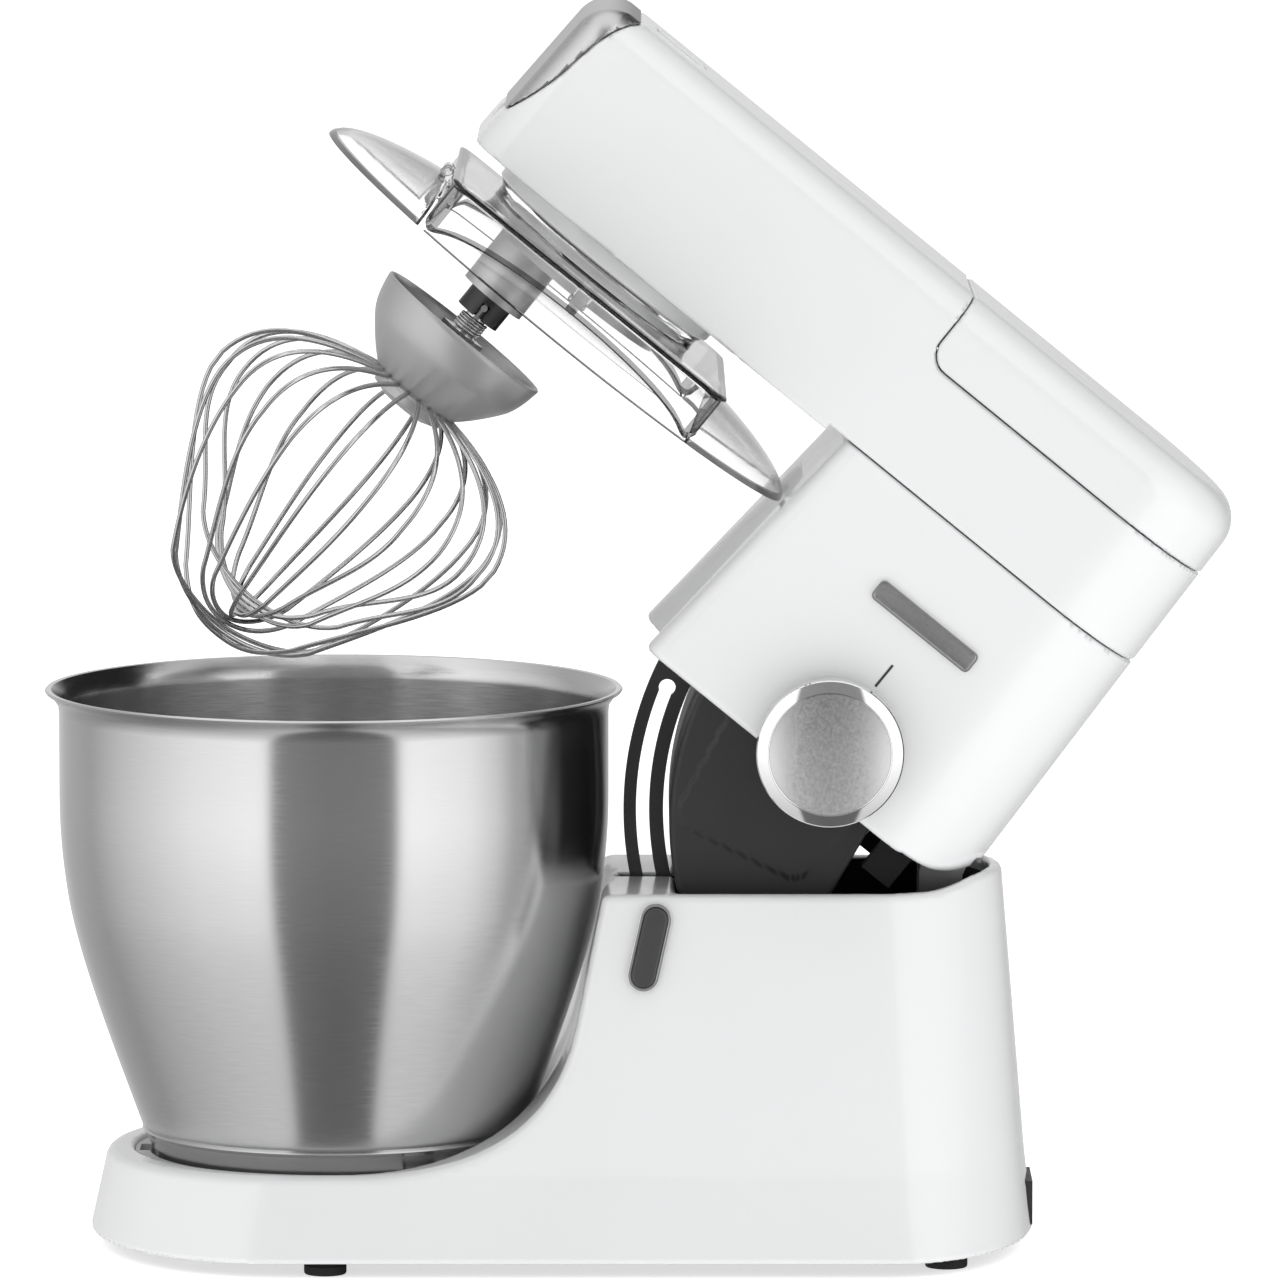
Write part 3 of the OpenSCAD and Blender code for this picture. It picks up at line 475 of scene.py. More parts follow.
def solid(field, low, high, cell):
    """Points, quads and normals of the surface where a field is 0."""
    axes = [np.arange(a - 1.5 * cell, b + 2 * cell, cell) for a, b in zip(low, high)]
    size = tuple(len(a) for a in axes)
    value = field(axes[0][:, None, None], axes[1][None, :, None], axes[2][None, None, :])
    value = np.ascontiguousarray(np.broadcast_to(value, size))
    inside = value < 0
    corners = [(i, j, k) for i in (0, 1) for j in (0, 1) for k in (0, 1)]
    count = sum(
        inside[i:size[0] - 1 + i, j:size[1] - 1 + j, k:size[2] - 1 + k].astype(np.int8)
        for i, j, k in corners
    )
    cells = np.argwhere((count > 0) & (count < 8))
    total = np.zeros((len(cells), 3))
    hits = np.zeros(len(cells))
    for start in corners:
        for axis in range(3):
            if start[axis]:
                continue
            end = list(start)
            end[axis] = 1
            first = value[tuple((cells + start).T)]
            last = value[tuple((cells + end).T)]
            crosses = (first < 0) != (last < 0)
            share = np.where(crosses, first / np.where(crosses, first - last, 1), 0)
            spot = cells + np.array(start, float)
            spot[:, axis] += share
            total += np.where(crosses[:, None], spot, 0)
            hits += crosses
    points = np.array([a[0] for a in axes]) + cell * total / hits[:, None]
    for _ in range(4):
        gradient = slope(field, points)
        steep = np.maximum((gradient ** 2).sum(1), 0.2)
        move = -(field(*points.T) / steep)[:, None] * gradient
        points = points + np.clip(move, -0.4 * cell, 0.4 * cell)
    number = np.full(size, -1)
    number[tuple(cells.T)] = np.arange(len(cells))
    faces = []
    for axis in range(3):
        ahead = np.roll(inside, -1, axis)
        changed = inside != ahead
        changed[tuple(slice(-1, None) if i == axis else slice(None) for i in range(3))] = False
        edges = np.argwhere(changed)
        one, two = np.eye(3, dtype=int)[(axis + 1) % 3], np.eye(3, dtype=int)[(axis + 2) % 3]
        ring = [edges, edges - one, edges - one - two, edges - two]
        quads = np.stack([number[tuple(r.T)] for r in ring], -1)
        outward = inside[tuple(edges.T)]
        quads[~outward] = quads[~outward][:, ::-1]
        faces.append(quads)
    faces = np.vstack(faces)
    faces = faces[(faces >= 0).all(1)]
    return points, faces.tolist(), slope(field, points)


# ---- base ----

BASE_Z = 6.2
PLATFORM_Z = 42.5
PEDESTAL_Z = 162.5
LIP_Z = 168
SEAT_FLOOR_Z = 28
BOWL_GAP = 4

bowl_wall = np.vstack([
    bezier((84, 50), (94, 78), (113, 126), (117.4, 156), 20),
    bezier((117.4, 156), (119.5, 170), (120.8, 182), (120.8, 200), 8)[1:],
    [(120.8, 235)],
])
cradle = outline_field([
    (-400, PLATFORM_Z + 0.3), (10, PLATFORM_Z + 0.5),
    *bezier((10, 43), (75, 44), (100, 70), (107.5, 109), 20)[1:],
    (118.5, PEDESTAL_Z), (125, 200), (125, 500), (-400, 500),
])
pedestal_top = outline_field([
    (60, PEDESTAL_Z), (258, PEDESTAL_Z),
    *bezier((258, PEDESTAL_Z), (272, PEDESTAL_Z), (275, LIP_Z), (291, LIP_Z), 10)[1:],
    (400, LIP_Z), (400, 500), (60, 500),
])


def bowl_space(x, y, z):
    """The round space that the bowl stands in."""
    radius = np.interp(z, bowl_wall[:, 1], bowl_wall[:, 0]) + BOWL_GAP
    radius = np.where(z < bowl_wall[0, 1], 88, radius)
    lean = np.interp(z, (50, 80, 150), (0.94, 0.95, 1.0))
    return np.maximum((np.hypot(x, y) - radius) * lean, SEAT_FLOOR_Z - z)


def base_opening(x, y):
    """Plan of the opening in the pedestal's top."""
    return meet(ended(x, y, -500, 1, 231, 57, 63), 150 - x, 5)


def base_shape(x, y, z):
    low = np.clip((z - BASE_Z) / (PLATFORM_Z - BASE_Z), -0.2, 1)
    high = np.clip((z - PLATFORM_Z) / (PEDESTAL_Z + 12 - PLATFORM_Z), 0, 1.2)
    front = 108 - 8 * low - 32 * high
    rear = 308 - 4 * low - 11 * high
    half = 108 - 12 * low - 29 * high
    body = ended(x, y, 85 - front, 85, rear - 63, 63, half) * 0.97
    body = cut(body, cradle(x, z), 4)
    body = cut(body, bowl_space(x, y, z), 3)
    body = cut(body, pedestal_top(x, z), 3)
    body = meet(body, BASE_Z - z, 2.5)
    body = cut(body, np.maximum(base_opening(x, y), 70 - z), 1.5)
    body = cut(body, box(x, y, z, (126, -5, 54), (214, 5, 300)), 0.8)
    body = cut(body, box(x, y, z, (292, -20.2, 9.2), (400, 20.2, 29.3)), 0.8)
    floor_plan = ended(x, y, 85 - 103, 80, 245, 58, 103)
    return cut(body, np.maximum(floor_plan, z - 9.2), 0.5)


# Faces inside the pedestal's opening and its slot are painted black: painted shade in the deep recess.
def base_opening_painted_shade(x, y, z):
    inside = (base_opening(x, y) < 1.5) & (z > 60) & (z < PEDESTAL_Z - 1.5) & (x > 140)
    in_slot = (x > 125) & (x < 216) & (abs(y) < 6) & (z > 40) & (z < PEDESTAL_Z - 2)
    return inside | in_slot


# Fine cells give smooth edges; the coarser ones are for trying things.
FINE = 1.0

verts, faces, normals = solid(base_shape, (-110, -110, 4), (310, 110, 172), 2.5 * FINE)
# The opening's inside takes black plastic as painted shade.
piece("base_casing", "base", "white_casing", verts, faces, BASE, ["base_housing"], normals,
      paint=("black_plastic", base_opening_painted_shade))

FOOT_PLACES = [(x, s * y) for x, y in ((-2, 92), (268, 74)) for s in (-1, 1)]
foot_profile = rounded([(0, 0), (9.25, 0), (9.25, 4.2), (8.6, 4.2), (8.6, 6.2), (4.9, 6.2), (4.9, 12), (0, 12)],
                       [0, 1.2, 0.5, 0.3, 0.3, 0, 0.5, 0])
feet = merged([
    (points + np.array((x, y, 0)), polygons)
    for x, y in FOOT_PLACES for points, polygons in [revolved(foot_profile, 48)]
])
piece("feet", "base", "foot_rubber", *feet, BASE, ["rubber_feet"])

# ---- release lever: a long cap in a bright rim, on the leaning side of the base ----

LEVER_X = 141.5
LEVER_Z = 151.7
LEVER_LENGTH = 24.1
LEVER_TILT = math.radians(13)
SIDE_LEAN = math.radians(12.45)


def lever_outline(radius, count=20):
    points = []
    for end, start in ((0, 0), (LEVER_LENGTH, math.pi)):
        centre = np.array((LEVER_X - end * math.sin(LEVER_TILT), LEVER_Z - end * math.cos(LEVER_TILT)))
        for a in np.linspace(start, start + math.pi, count):
            turn = a - LEVER_TILT
            points.append(centre + radius * np.array((math.cos(turn), math.sin(turn))))
    return points


# Slabs are drawn flat, then leaned with the casing's side about its lower edge.
ON_SIDE = (
    BASE
    @ Matrix.Translation((0, -96, PLATFORM_Z))
    @ Matrix.Rotation(-SIDE_LEAN, 4, "X")
    @ Matrix.Translation((0, 0, -PLATFORM_Z / math.cos(SIDE_LEAN)))
    @ Matrix.Diagonal((1, 1, 1 / math.cos(SIDE_LEAN), 1))
)
piece("lever_cap", "lever", "lever_grey", *slab(lever_outline(5.4), -4.2, -1.0, 1.3), ON_SIDE,
      ["release_lever"])


def ring_slab(outer, inner, y0, y1, bevel, steps=3):
    """A frame between two outlines of equally many points, its outer edges rounded."""
    outer, inner = np.array(outer, float), np.array(inner, float)
    middle = (outer + inner) / 2
    half = np.linalg.norm(outer - inner, axis=1, keepdims=True) / 2
    away = (outer - inner) / (2 * half)
    section = rounded([(-1, y1), (1, y1), (1, y0), (-1, y0)], [0, 0, bevel, bevel], steps + 1)
    n, m = len(outer), len(section)
    verts = []
    for s, y in section:
        verts += [(x, y, z) for x, z in middle + away * half * np.clip(s, -1, 1)]
    faces = []
    for i in range(m):
        j = (i + 1) % m
        for k in range(n):
            l = (k + 1) % n
            faces.append([i * n + k, i * n + l, j * n + l, j * n + k])
    return np.array(verts), faces


piece("lever_frame", "lever", "chrome_trim",
      *ring_slab(lever_outline(7), lever_outline(5.45), -3.6, -0.8, 0.7), ON_SIDE, ["lever_rim"])

# ---- bowl: one spun sheet with a flared, rolled lip ----

SHEET = 1.2
FOOT_TOP_Z = 51.5
wall_above = [p for p in bowl_wall if p[1] > FOOT_TOP_Z + 1.5]
foot_edge = np.interp(FOOT_TOP_Z, bowl_wall[:, 1], bowl_wall[:, 0])
foot_ring = [(78.3, 43), (foot_edge + 0.5, FOOT_TOP_Z - 0.7), (foot_edge - 0.1, FOOT_TOP_Z), (foot_edge - 0.5, FOOT_TOP_Z + 0.3),
             (foot_edge + 0.3, FOOT_TOP_Z + 0.9)]
outside = [(0, 38), (72, 38), *foot_ring, *wall_above, (121.2, 238.5), (124.4, 243.2), (126.4, 243.9),
           (127, 244.8), (126.4, 245.5)]
inside = [(124.2, 245.3), (121.6, 241.8), (119.6, 238), *[(r - SHEET, z) for r, z in bowl_wall[::-1]],
          (76.2, 44), (71.4, 39.2), (0, 39.2)]
bowl_profile = rounded(outside + inside, [0, 5, 5] + [0] * (len(outside) + len(inside) - 6) + [5, 5, 0], 6)
piece("bowl_shell", "bowl", "bowl_steel", *revolved(bowl_profile, 256), BASE, ["bowl"], crease=45)

# ---- head casings ----

PART_Z = 290.5
FLOOR_Z = 164.7
TOP_Z = 373
NOSE_X = -77
SCOOP_R = 130.5
COVER_X = 133
COVER_Z = 338.8
GAP = 0.45
SKIN = 2.6
COVER_SKIN = 4.5

heel = outline_field([
    (200, 100), (262, 100), (262, FLOOR_Z),
    *bezier((262, FLOOR_Z), (276, FLOOR_Z), (285, 168), (299, 179), 10)[1:],
    (330, 203), (330, 100),
][1:])


def lower_shape(x, y, z):
    up = (z - FLOOR_Z) / (PART_Z - FLOOR_Z)
    front = 118.8 + 9.8 * up
    rear = 297 - 5 * up
    body = meet(ended(x, y, -500, 1, rear - 53, 53, 70), front - x, 8)
    body = cut(body, np.maximum(np.hypot(x, y) - SCOOP_R, z - 262), 2)
    body = cut(body, heel(x, z), 4)
    body = meet(body, FLOOR_Z - z, 2.5)
    well = np.maximum(box(x, y, z, (236, -51, 100), (287, 51, 235)), ended(x, y, -500, 1, 242, 53, 70) + 5)
    body = cut(body, well, 1.5)
    body = cut(body, box(x, y, z, (280, -27, 100), (320, 27, 180.5)), 1)
    return meet(body, z - (PART_Z - 0.25), 0.7)


# Faces inside the well at the lower casing's rear are painted black: painted shade in the deep hollow.
def lower_well_painted_shade(x, y, z):
    inner = ended(x, y, -500, 1, 242, 53, 70) < -3.5
    return inner & (x > 234) & (x < 288.5) & (abs(y) < 52.5) & (z > FLOOR_Z + 2) & (z < 237)


def upper_shape(x, y, z):
    half = 64 + 6 * np.clip((x - NOSE_X) / (110 - NOSE_X), 0, 1)
    side = meet(ended(x, y, -500, 1, 239, 53, half), NOSE_X - x, 16)
    return meet(side + 0.035 * (z - PART_Z), z - TOP_Z, 17)


def cover_region(x, z, off):
    """Solid where the rear-top cover is; off moves its edge inwards."""
    return meet(COVER_X + off - x, COVER_Z + off - z, 10)


nose_edge = [*bezier((NOSE_X - 1, 301), (-73, 312), (-68, 326), (-66, 338), 8),
             *bezier((-66, 338), (-64.5, 350), (-63, 367), (-52, 373), 6)[1:], (-52, 420)]
nose_region = outline_field([*nose_edge, (-140, 420), (-140, 301)])


def upper_casing(x, y, z):
    shape = upper_shape(x, y, z)
    foot = np.where(x < 118.7, 288 - z, PART_Z + 0.25 - z)
    body = meet(shape, foot, 1.2)
    body = cut(body, cover_region(x, z, 0), 0.8)
    body = cut(body, np.maximum(nose_region(x, z), -(shape + SKIN)), 0.7)
    body = cut(body, box(x, y, z, (-44, -11, 362), (-18, 11, 400)), 0.7)
    return cut(body, np.maximum(np.hypot(y, z - 315.6) - 16, box(x, y, z, (-90, -20, 290), (-67, 20, 340))), 0.7)


def top_cover_shape(x, y, z):
    shape = upper_shape(x, y, z)
    body = meet(shape, cover_region(x, z, GAP), 0.8)
    return cut(body, np.maximum(shape + COVER_SKIN, box(x, y, z, (136, -90, 300), (400, 90, 400))), 0.5)


def nose_cap_shape(x, y, z):
    shape = upper_shape(x, y, z)
    body = meet(shape, nose_region(x, z) + GAP, 0.6)
    return cut(body, shape + 2.2, 0.4)


def catch_shape(x, y, z):
    block = meet(np.abs(x + 31) - 12.7, np.abs(y) - 10.7, 2.5)
    return meet(meet(block, z - (TOP_Z + 1.3), 1.2), 362 - z, 0.3)


for name, slot, shape, low, high, cell, stands_for, body, paint in (
    # The lower casing's well gets black plastic as painted shade.
    ("lower_casing", "white_casing", lower_shape, (116, -72, 162), (299, 72, 293), 2.2,
     "head_lower_housing", "head", ("black_plastic", lower_well_painted_shade)),
    ("upper_casing", "white_casing", upper_casing, (-79, -72, 286), (294, 72, 375), 2.2,
     "head_upper_housing", "head", None),
    ("rear_top_cover", "white_casing", top_cover_shape, (131, -72, 336), (294, 72, 375), 2.0,
     "top_cover", "high_cover", None),
    ("nose_cover", "satin_silver", nose_cap_shape, (-79, -68, 299), (-48, 68, 375), 1.2,
     "nose_cap", "nose", None),
    ("catch_button", "white_casing", catch_shape, (-46, -13, 360), (-16, 13, 377), 1.0,
     "outlet_catch", "catch", None),
):
    verts, faces, normals = solid(shape, low, high, cell * FINE)
    piece(name, body, slot, verts, faces, HEAD, [stands_for], normals, paint=paint)

boss_profile = rounded([(46, 274), (51, 274), (51, 280.5), (58, 280.5), (58, 288), (46, 288)],
                       [0.4, 0.8, 1, 1.5, 0.3, 0])
piece("drive_collar", "head", "white_casing", *revolved(boss_profile, 128), HEAD, ["planet_boss"])

# ---- quadrant cover below the head, round the hinge ----

QUADRANT_R = 128.5


def swing(radius, degrees):
    a = math.radians(degrees)
    return (HINGE_X - radius * math.cos(a), HINGE_Z - radius * math.sin(a))


panel = outline_field([(172.5, 178), (183, 122.5), (228, 133), (228.5, 178)])


def quadrant_shape(x, y, z):
    drum = np.hypot(x - HINGE_X, z - HINGE_Z) - QUADRANT_R
    rear = x - np.minimum(246 + 0.16 * (161 - z), 254.2)
    body = meet(meet(drum, np.abs(y) - 50, 2.5), np.maximum(rear, 80 - z), 2)
    body = meet(body, z - (FLOOR_Z - 0.3), 0.5)
    raised = meet(panel(x, z) - 9, np.abs(y) - 51, 1.2)
    return join(body, raised, 0.8)


verts, faces, normals = solid(quadrant_shape, (145, -52, 78), (255, 52, 166), 1.6 * FINE)
piece("quadrant_skirt", "head", "dark_plastic", verts, faces, HEAD, ["quadrant_cover"], normals)

# ---- badge, tick mark and speed knob ----


def rounded_box(x0, x1, z0, z1, radius):
    return rounded([(x0, z0), (x1, z0), (x1, z1), (x0, z1)], radius, 8)


BADGE = (178.5, 233, 244, 254.3)
rim_in = 1.3
outer = rounded_box(*BADGE, 3)
inner = rounded_box(BADGE[0] + rim_in, BADGE[1] - rim_in, BADGE[2] + rim_in, BADGE[3] - rim_in, 2)
piece("badge_frame", "head", "chrome_trim", *ring_slab(outer, inner, -72, -69.9, 0.6), HEAD, ["badge_rim"])
piece("badge_face", "head", "satin_silver", *slab(inner, -71.3, -69.9, 0.2), HEAD, ["badge_plate"])
KNOB_X = 207.7
KNOB_Z = 181.6
mark = rounded_box(KNOB_X - 2.3, KNOB_X - 1.2, KNOB_Z + 33.5, KNOB_Z + 45.5, 0.2)
piece("dial_tick", "head", "mark_grey", *slab(mark, -70.2, -69.9, 0.05), HEAD, ["dial_mark"])

# A knob profile is [radius, height over the casing's side].
KNOB = HEAD @ Matrix.Translation((KNOB_X, -70, KNOB_Z)) @ Matrix.Rotation(math.pi / 2, 4, "X")
knob_profile = rounded(
    [(26.4, 3.7), (31, 3.7), (32, 5), (32, 19.6), (31.5, 20.2), (26.9, 22.3), (26.4, 22.1)],
    [0.2, 0.6, 0.6, 0.3, 0.3, 0.3, 0.1], 5)
piece("knob_bevel", "knob", "chrome_trim", *revolved(knob_profile, 192), KNOB, ["speed_knob"])
dish = [(r, 18.2 + 3.6 * (r / 26.3) ** 2) for r in np.linspace(26.3, 0, 14)]
knob_disc = piece("knob_face", "knob", "satin_silver", *revolved([(0, 4), (26.3, 4), *dish], 192), KNOB,
                  ["knob_disc"])
# The knob's face takes the lighter silver copy, which paints on its reflected light.
knob_disc.data.materials[0] = SURFACES["knob_lit_silver"]

# ---- whisk ----

TOOL = HEAD @ Matrix.Translation((-26.5, 0, 0))
HUB_Z = 216.7
cup = np.vstack([
    bezier((41.8, 0), (41, -6), (39.6, -12), (37, -16), 8),
    bezier((37, -16), (34.4, -20), (27, -29), (20.8, -34.1), 10)[1:],
])
hub_profile = [
    (0, -42.5), (11, -42.5), (17.8, -40.2), (18.6, -36.6), (20.9, -36.2), (21.4, -35.1), (20.6, -34.1),
    *cup[::-1], (41.3, 0.6), (40.3, 0.6),
    *[(r - 1.9, z + 0.3 + 1.6 * abs(z) / 34) for r, z in cup],
    (15, -29.5), (12, -28.6), (12, -9.6), (11.4, -9), (0, -9),
]
hub_profile = [(r, z + HUB_Z) for r, z in hub_profile]
piece("whisk_cup", "whisk", "hub_grey", *revolved(hub_profile, 192), TOOL, ["whisk_hub"], crease=50)

WIRE_R = 1.1
LOOPS = 11
TIP_Z = 43.8
BALLOON_R = 77


def wire_loop(k):
    """Half loops from the hub round the balloon to the tip; each loop crosses the last at the tip."""
    top = HUB_Z - 37
    wide = BALLOON_R - 1.1 * k % 4
    tip = TIP_Z + WIRE_R + 2.2 * k
    narrow = 38 + 1.7 * (k * 5 % LOOPS) - 8
    half = np.vstack([
        bezier((15, top + 3), (46, top - 1), (BALLOON_R - 1, 168), (wide, 139), 20),
        bezier((wide, 139), (BALLOON_R - 2, 116), (narrow + 15, tip + 38), (narrow, tip + 15), 16)[1:],
        bezier((narrow, tip + 15), (narrow - 10, tip + 4), (13, tip), (0, tip), 12)[1:],
    ])
    half = half[(half[:, 0] < 76.9)]
    full = np.vstack([half, (half * (-1, 1))[-2::-1]])
    turn = math.pi * k / LOOPS
    return [(r * math.cos(turn), r * math.sin(turn), z) for r, z in full]


wires = merged([tube(wire_loop(k), WIRE_R, 10, closed=False) for k in range(LOOPS)])
piece("whisk_loops", "whisk", "tool_steel", *wires, TOOL, ["whisk_wires"], crease=80)
turns = 5
coil = [
    (6 * math.cos(a), 6 * math.sin(a), 217.4 + 6.8 * a / (2 * math.pi * turns))
    for a in np.linspace(0, 2 * math.pi * turns, 24 * turns)
]
piece("shank_coil", "whisk", "tool_steel", *tube(coil, 0.8, 8, closed=False), TOOL, ["shank_spring"],
      crease=80)

# ---- splash guard: a domed sheet with a raised box, and its hinged feed flap ----

GUARD_R = 127.5
GUARD_Z = 247.2
DOME_RISE = 23
SHEET_T = 2.2
BOX_X = 72
BOX_Y = 104
BOX_CORNER = 7
DECK_Z = (271, 273.4)
FLAP_X = -76.3
KNUCKLE = (-77.1, 267.9)


def dome_height(x, y, depth=0.0):
    share = np.clip(1 - (x * x + y * y) / (GUARD_R - depth) ** 2, 0, 1)
    return GUARD_Z + (DOME_RISE - depth) * np.sqrt(share)


def dome_segment(start, turn, shade_band, rows=24, columns=90):
    """The domed sheet beyond a straight cut, with a band of painted shade of this height up from its rim."""
    half = math.acos(start / GUARD_R) * 0.999
    angles = np.linspace(-half, half, columns)
    chord = start / np.cos(angles)
    shade_band_r = GUARD_R * math.sqrt(1 - (shade_band / DOME_RISE) ** 2)
    targets = [chord + np.maximum(shade_band_r - chord, 0) * share for share in np.linspace(0, 1, rows)]
    for share in (0.35, 0.7, 0.9, 1):
        targets.append(np.maximum(shade_band_r + (GUARD_R - shade_band_r) * share, chord))
    points = []
    for depth in (0, SHEET_T):
        for r in targets:
            r = r * (GUARD_R - depth - 0.01) / GUARD_R
            x, y = r * np.cos(angles + turn), r * np.sin(angles + turn)
            points += list(zip(x, y, dome_height(x, y, depth)))
    n = len(targets)
    sheet = [[i * columns + k, (i + 1) * columns + k, (i + 1) * columns + k + 1, i * columns + k + 1]
             for i in range(n - 1) for k in range(columns - 1)]
    # Faces from the band's top out to the rim, and all the cut edges, are marked for painted shade.
    painted_shade = [i >= rows - 1 for i in range(n - 1) for _ in range(columns - 1)]
    shift = n * columns
    border = [*range(columns), *(i * columns + columns - 1 for i in range(1, n)),
              *range(n * columns - 2, (n - 1) * columns - 1, -1),
              *(i * columns for i in range(n - 2, 0, -1))]
    rim = [[a, b, b + shift, a + shift] for a, b in zip(border, border[1:] + border[:1])]
    faces = sheet + [[i + shift for i in f][::-1] for f in sheet] + rim
    return (np.array(points), faces), painted_shade + painted_shade + [True] * len(rim)


def box_outline(grow, count=24):
    """Rounded rectangle round the raised box, grow millimetres outside its inner wall."""
    radius = BOX_CORNER + grow
    points = []
    for corner, (sx, sy) in enumerate(((1, 1), (-1, 1), (-1, -1), (1, -1))):
        centre = np.array((sx * (BOX_X - BOX_CORNER), sy * (BOX_Y - BOX_CORNER)))
        for a in np.linspace(corner * math.pi / 2, (corner + 1) * math.pi / 2, count):
            points.append(centre + radius * np.array((math.cos(a), math.sin(a))))
        following = np.array([((-1, 1), (-1, -1), (1, -1), (1, 1))[corner]])[0]
        end = following * (BOX_X - BOX_CORNER, BOX_Y - BOX_CORNER)
        last = points[-1]
        a = (corner + 1) * math.pi / 2
        goal = end + radius * np.array((math.cos(a), math.sin(a)))
        points += [last + (goal - last) * t for t in np.linspace(0, 1, 30)[1:-1]]
    return np.array(points)


def guard_box():
    """Walls, deck and collar as one run of rings, from the outer wall's foot to the inner one's."""
    wall = box_outline(SHEET_T)
    inner = box_outline(0)
    turn = np.arctan2(inner[:, 1], inner[:, 0])
    round_way = np.stack([np.cos(turn), np.sin(turn)], -1)

    def foot(plan):
        return dome_height(*plan.T, 1.2)

    def level(plan, z):
        return np.column_stack([plan, np.broadcast_to(z, len(plan))])

    # edge marks the rings whose faces get painted shade: the walls' feet, round the lip, the collar's top and the
    # opening's rim.
    rings, edge = [], []

    def add(plan, z, painted_shade=False):
        rings.append(level(plan, z))
        edge.append(painted_shade)

    low_out, low_in = foot(wall), foot(inner)
    add(wall, low_out, True)
    add(wall, low_out + 3.2)
    for share in (0.5, 0.8):
        add(wall, low_out + 3.2 + (DECK_Z[0] - low_out - 3.2) * share)
    lip = 1.5
    add(wall, DECK_Z[0] - 0.2, True)
    for a in np.linspace(-70, 90, 6):
        r = math.radians(a)
        add(box_outline(SHEET_T + lip * math.cos(r)), 272.2 + 1.2 * math.sin(r), True)
    add(box_outline(SHEET_T - 1), DECK_Z[1])
    outer_collar = round_way * 54.4
    base = box_outline(SHEET_T - 1)
    for share in (0.3, 0.6, 0.85, 0.98):
        add(base + (outer_collar - base) * share, DECK_Z[1])
    for r, z in ((54.4, 274.2), (54.4, 276.5), (54.9, 278.4), (55.9, 279.5), (56.0, 280.1), (55.2, 280.2), (53.4, 279),
                 (52.2, 277.5), (51.6, 275.6), (51.6, 273.9)):
        add(round_way * r, z, z > 279)
    for r, z in ((50.8, 273.4), (46, 273.4), (44.4, 273.3), (44, 272.7), (44, 271.6), (44.4, 271)):
        add(round_way * r, z, 271.2 < z < 273)
    rim = round_way * 46
    for share in (0, 0.4, 0.75, 0.97):
        add(rim + (inner - rim) * share, DECK_Z[0])
    add(inner, DECK_Z[0] - 1)
    for share in (0.5, 0.2):
        add(inner, low_in + (DECK_Z[0] - 1 - low_in) * share)
    add(inner, low_in, True)
    n = len(inner)
    # The walls' lowest bands at the box's corners get painted shade too.
    shaded_corner = (np.abs(inner[:, 0]) > BOX_X - 4.5) & (np.abs(inner[:, 1]) > BOX_Y - 4.5)
    faces, painted_shade = [], []
    for i in range(len(rings)):
        j = (i + 1) % len(rings)
        for k in range(n):
            m = (k + 1) % n
            faces.append([i * n + k, i * n + m, j * n + m, j * n + k])
            painted_shade.append(edge[i] or (i < 4 and shaded_corner[k]))
    return (np.vstack(rings), faces), painted_shade


def lugs():
    """Two lugs on the box's front that hold the flap's pin."""
    outline = rounded([(-79, 264), (-73, 264), (-73, 270.1), (-79, 270.1)], [0.5, 0, 0, 2.2])
    return [slab(outline, s * 12.2 - 1.8, s * 12.2 + 1.8, 0.5) for s in (-1, 1)]


peg_profile = rounded([(0, 258), (2.6, 258), (2.6, 262), (4.5, 262), (4.5, 271.2), (0, 271.2)],
                      [0, 1.2, 0.6, 1.4, 0.2, 0])
peg = revolved(peg_profile, 40)
peg = (peg[0] + np.array((0, -78, 0)), peg[1])
walls, wall_painted_shade = guard_box()
segments = [dome_segment(*cut) for cut in (
    (BOX_X + 1.2, 0, 2.6), (BOX_Y + 1.2, math.pi / 2, 1), (BOX_Y + 1.2, -math.pi / 2, 1))]
solids = [walls, *(mesh for mesh, _ in segments), *lugs(), peg]
# Faces flagged here get the dark clear surface as painted shade; the lugs and peg stay clear.
painted_shade = wall_painted_shade + [e for _, edges in segments for e in edges]
verts, faces = merged(solids)
painted_shade += [False] * (len(faces) - len(painted_shade))
piece("guard_sheet", "guard", "clear_plastic", verts, faces, HEAD, ["splash_guard"],
      paint=("clear_painted_shade", painted_shade))

# The flap's rim band and cut edges get the same painted shade.
flap_mesh, flap_painted_shade = dome_segment(-FLAP_X, math.pi, 2.6)
knuckle_profile = rounded([(0, -10), (2.3, -10), (2.3, 10), (0, 10)], [0, 0.5, 0.5, 0])
knuckle = revolved(knuckle_profile, 32)
knuckle = (np.column_stack([knuckle[0][:, 0] + KNUCKLE[0], knuckle[0][:, 2], KNUCKLE[1] - knuckle[0][:, 1]]), knuckle[1])
verts, faces = merged([flap_mesh, knuckle])
piece("flap_sheet", "flap", "clear_plastic", verts, faces, HEAD, ["feed_flap"],
      paint=("clear_painted_shade", flap_painted_shade + [False] * (len(faces) - len(flap_painted_shade))))

# ---- floor and light ----

floor_mesh = bpy.data.meshes.new("floor")
reach = 60
floor_mesh.from_pydata([(-reach, -reach, 0), (reach, -reach, 0), (reach, reach, 0), (-reach, reach, 0)],
                       [], [(0, 1, 2, 3)])
floor = bpy.data.objects.new("floor", floor_mesh)
bpy.context.scene.collection.objects.link(floor)
paper = Nodes("floor_paper")
paper.set(Base_Color=(0.85, 0.85, 0.85, 1), Roughness=0.9, Emission_Color=(1, 1, 1, 1),
          Emission_Strength=0.65)
floor_mesh.materials.append(paper.material)
floor.visible_glossy = False

# The studio round the object, as brightness by compass angle: 0 behind the camera, then to the
# right. Wide soft boxes stand on both sides, with black flags beyond them.
world = bpy.data.worlds.new("studio")
bpy.context.scene.world = world
world.use_nodes = True
tree = world.node_tree
tree.nodes.clear()


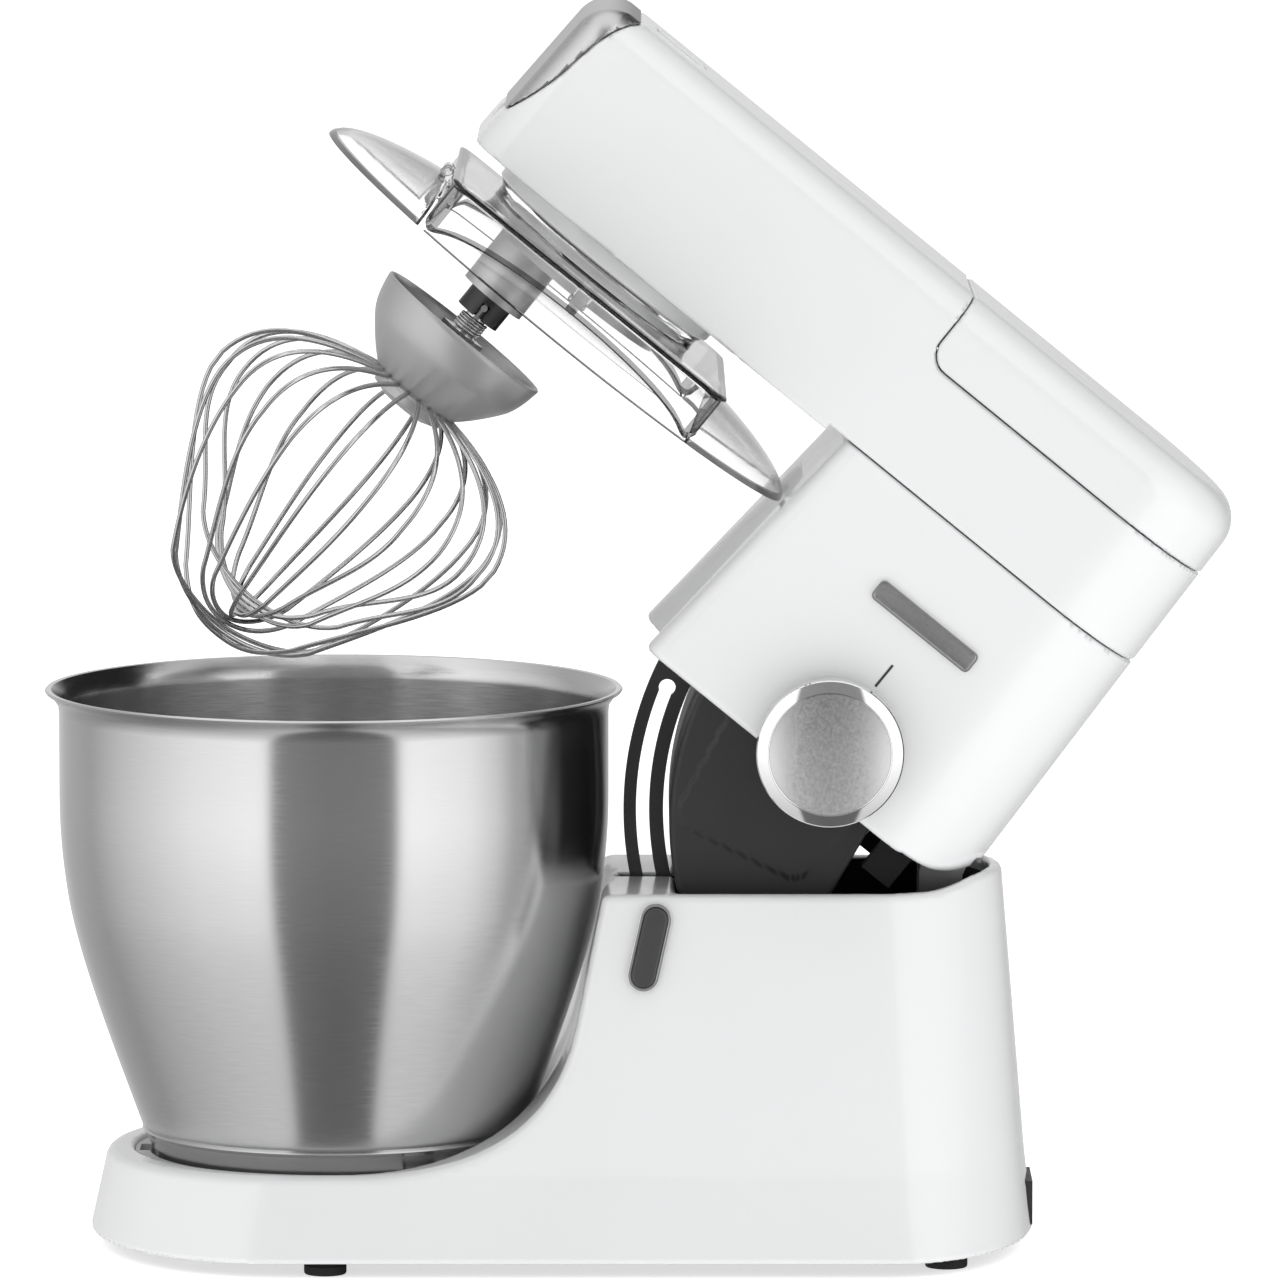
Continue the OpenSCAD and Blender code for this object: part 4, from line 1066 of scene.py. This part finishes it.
def world_node(kind, inputs=(), **settings):
    node = tree.nodes.new(kind)
    for key, value in settings.items():
        setattr(node, key, value)
    for key, value in dict(inputs).items():
        if isinstance(value, bpy.types.NodeSocket):
            tree.links.new(value, node.inputs[key])
        else:
            node.inputs[key].default_value = value
    return node


sky = world_node("ShaderNodeTexCoord").outputs["Generated"]
parts = world_node("ShaderNodeSeparateXYZ", {0: sky}).outputs
back = world_node("ShaderNodeMath", {0: parts[1], 1: -1.0}, operation="MULTIPLY").outputs[0]
angle = world_node("ShaderNodeMath", {0: parts[0], 1: back}, operation="ARCTAN2").outputs[0]
share = world_node("ShaderNodeMapRange", {"Value": angle, "From Min": -math.pi, "From Max": math.pi}).outputs[0]
bands = world_node("ShaderNodeValToRGB", {"Fac": share})
STUDIO = (
    (-180, 0.75), (-150, 0.55), (-122, 0.5), (-100, 0.8), (-60, 1.25), (-27, 1.45), (-24, 0.33),
    (0, 0.28), (27, 0.3), (30, 1.5), (60, 1.3), (76, 0.9), (82, 0.6), (91, 0.5), (95, 0.02), (155, 0.02),
    (166, 0.4), (180, 0.75),
)
elements = bands.color_ramp.elements
while len(elements) < len(STUDIO):
    elements.new(0.5)
for element, (degrees, level) in zip(elements, STUDIO):
    element.position = (degrees + 180) / 360
    element.color = (level, level, level, 1)
up = world_node("ShaderNodeMapRange", {"Value": parts[2], "From Min": 0.75, "From Max": 0.9}).outputs[0]
mix = tree.nodes.new("ShaderNodeMix")
mix.data_type = "RGBA"
tree.links.new(up, mix.inputs[0])
tree.links.new(bands.outputs["Color"], mix.inputs[6])
mix.inputs[7].default_value = (1.1, 1.1, 1.1, 1)
low = world_node("ShaderNodeMapRange", {
    "Value": parts[2], "From Min": -0.75, "From Max": -0.1, "To Min": 0.5, "To Max": 1.0}).outputs[0]
light = world_node("ShaderNodeBackground", {"Color": mix.outputs[2], "Strength": low})
plain = world_node("ShaderNodeBackground", {"Color": (1, 1, 1, 1), "Strength": 1.0})
even = world_node("ShaderNodeBackground", {"Color": (1, 1, 1, 1), "Strength": 0.7})
path = world_node("ShaderNodeLightPath").outputs
seen = world_node("ShaderNodeMath", {0: path["Is Camera Ray"], 1: path["Is Transmission Ray"]},
                  operation="MAXIMUM").outputs[0]
lit = world_node("ShaderNodeMixShader", {0: path["Is Diffuse Ray"], 1: light.outputs[0], 2: even.outputs[0]})
both = world_node("ShaderNodeMixShader", {0: seen, 1: lit.outputs[0], 2: plain.outputs[0]})
world_node("ShaderNodeOutputWorld", {"Surface": both.outputs[0]})


def lamp(name, place, aim, size, watts):
    """A soft area light that fills in without showing in reflections."""
    data = bpy.data.lights.new(name, "AREA")
    data.shape = "RECTANGLE"
    data.size, data.size_y = size
    data.energy = watts
    obj = bpy.data.objects.new(name, data)
    obj.location = place
    obj.rotation_euler = (Vector(aim) - Vector(place)).to_track_quat("-Z", "Y").to_euler()
    obj.visible_glossy = False
    bpy.context.scene.collection.objects.link(obj)


AIM = (0, 0, 0.25)
lamp("front_fill", (-0.4, -2.6, 1.0), AIM, (1.8, 1.8), 0.6)
lamp("right_fill", (2.4, 0.2, 0.8), AIM, (1.6, 1.6), 5.5)
lamp("left_fill", (-2.4, -0.4, 0.1), AIM, (1.6, 0.4), 2.5)
lamp("top", (0.1, -0.2, 2.4), AIM, (1.8, 1.8), 4.5)

bpy.context.scene.view_settings.view_transform = "Standard"
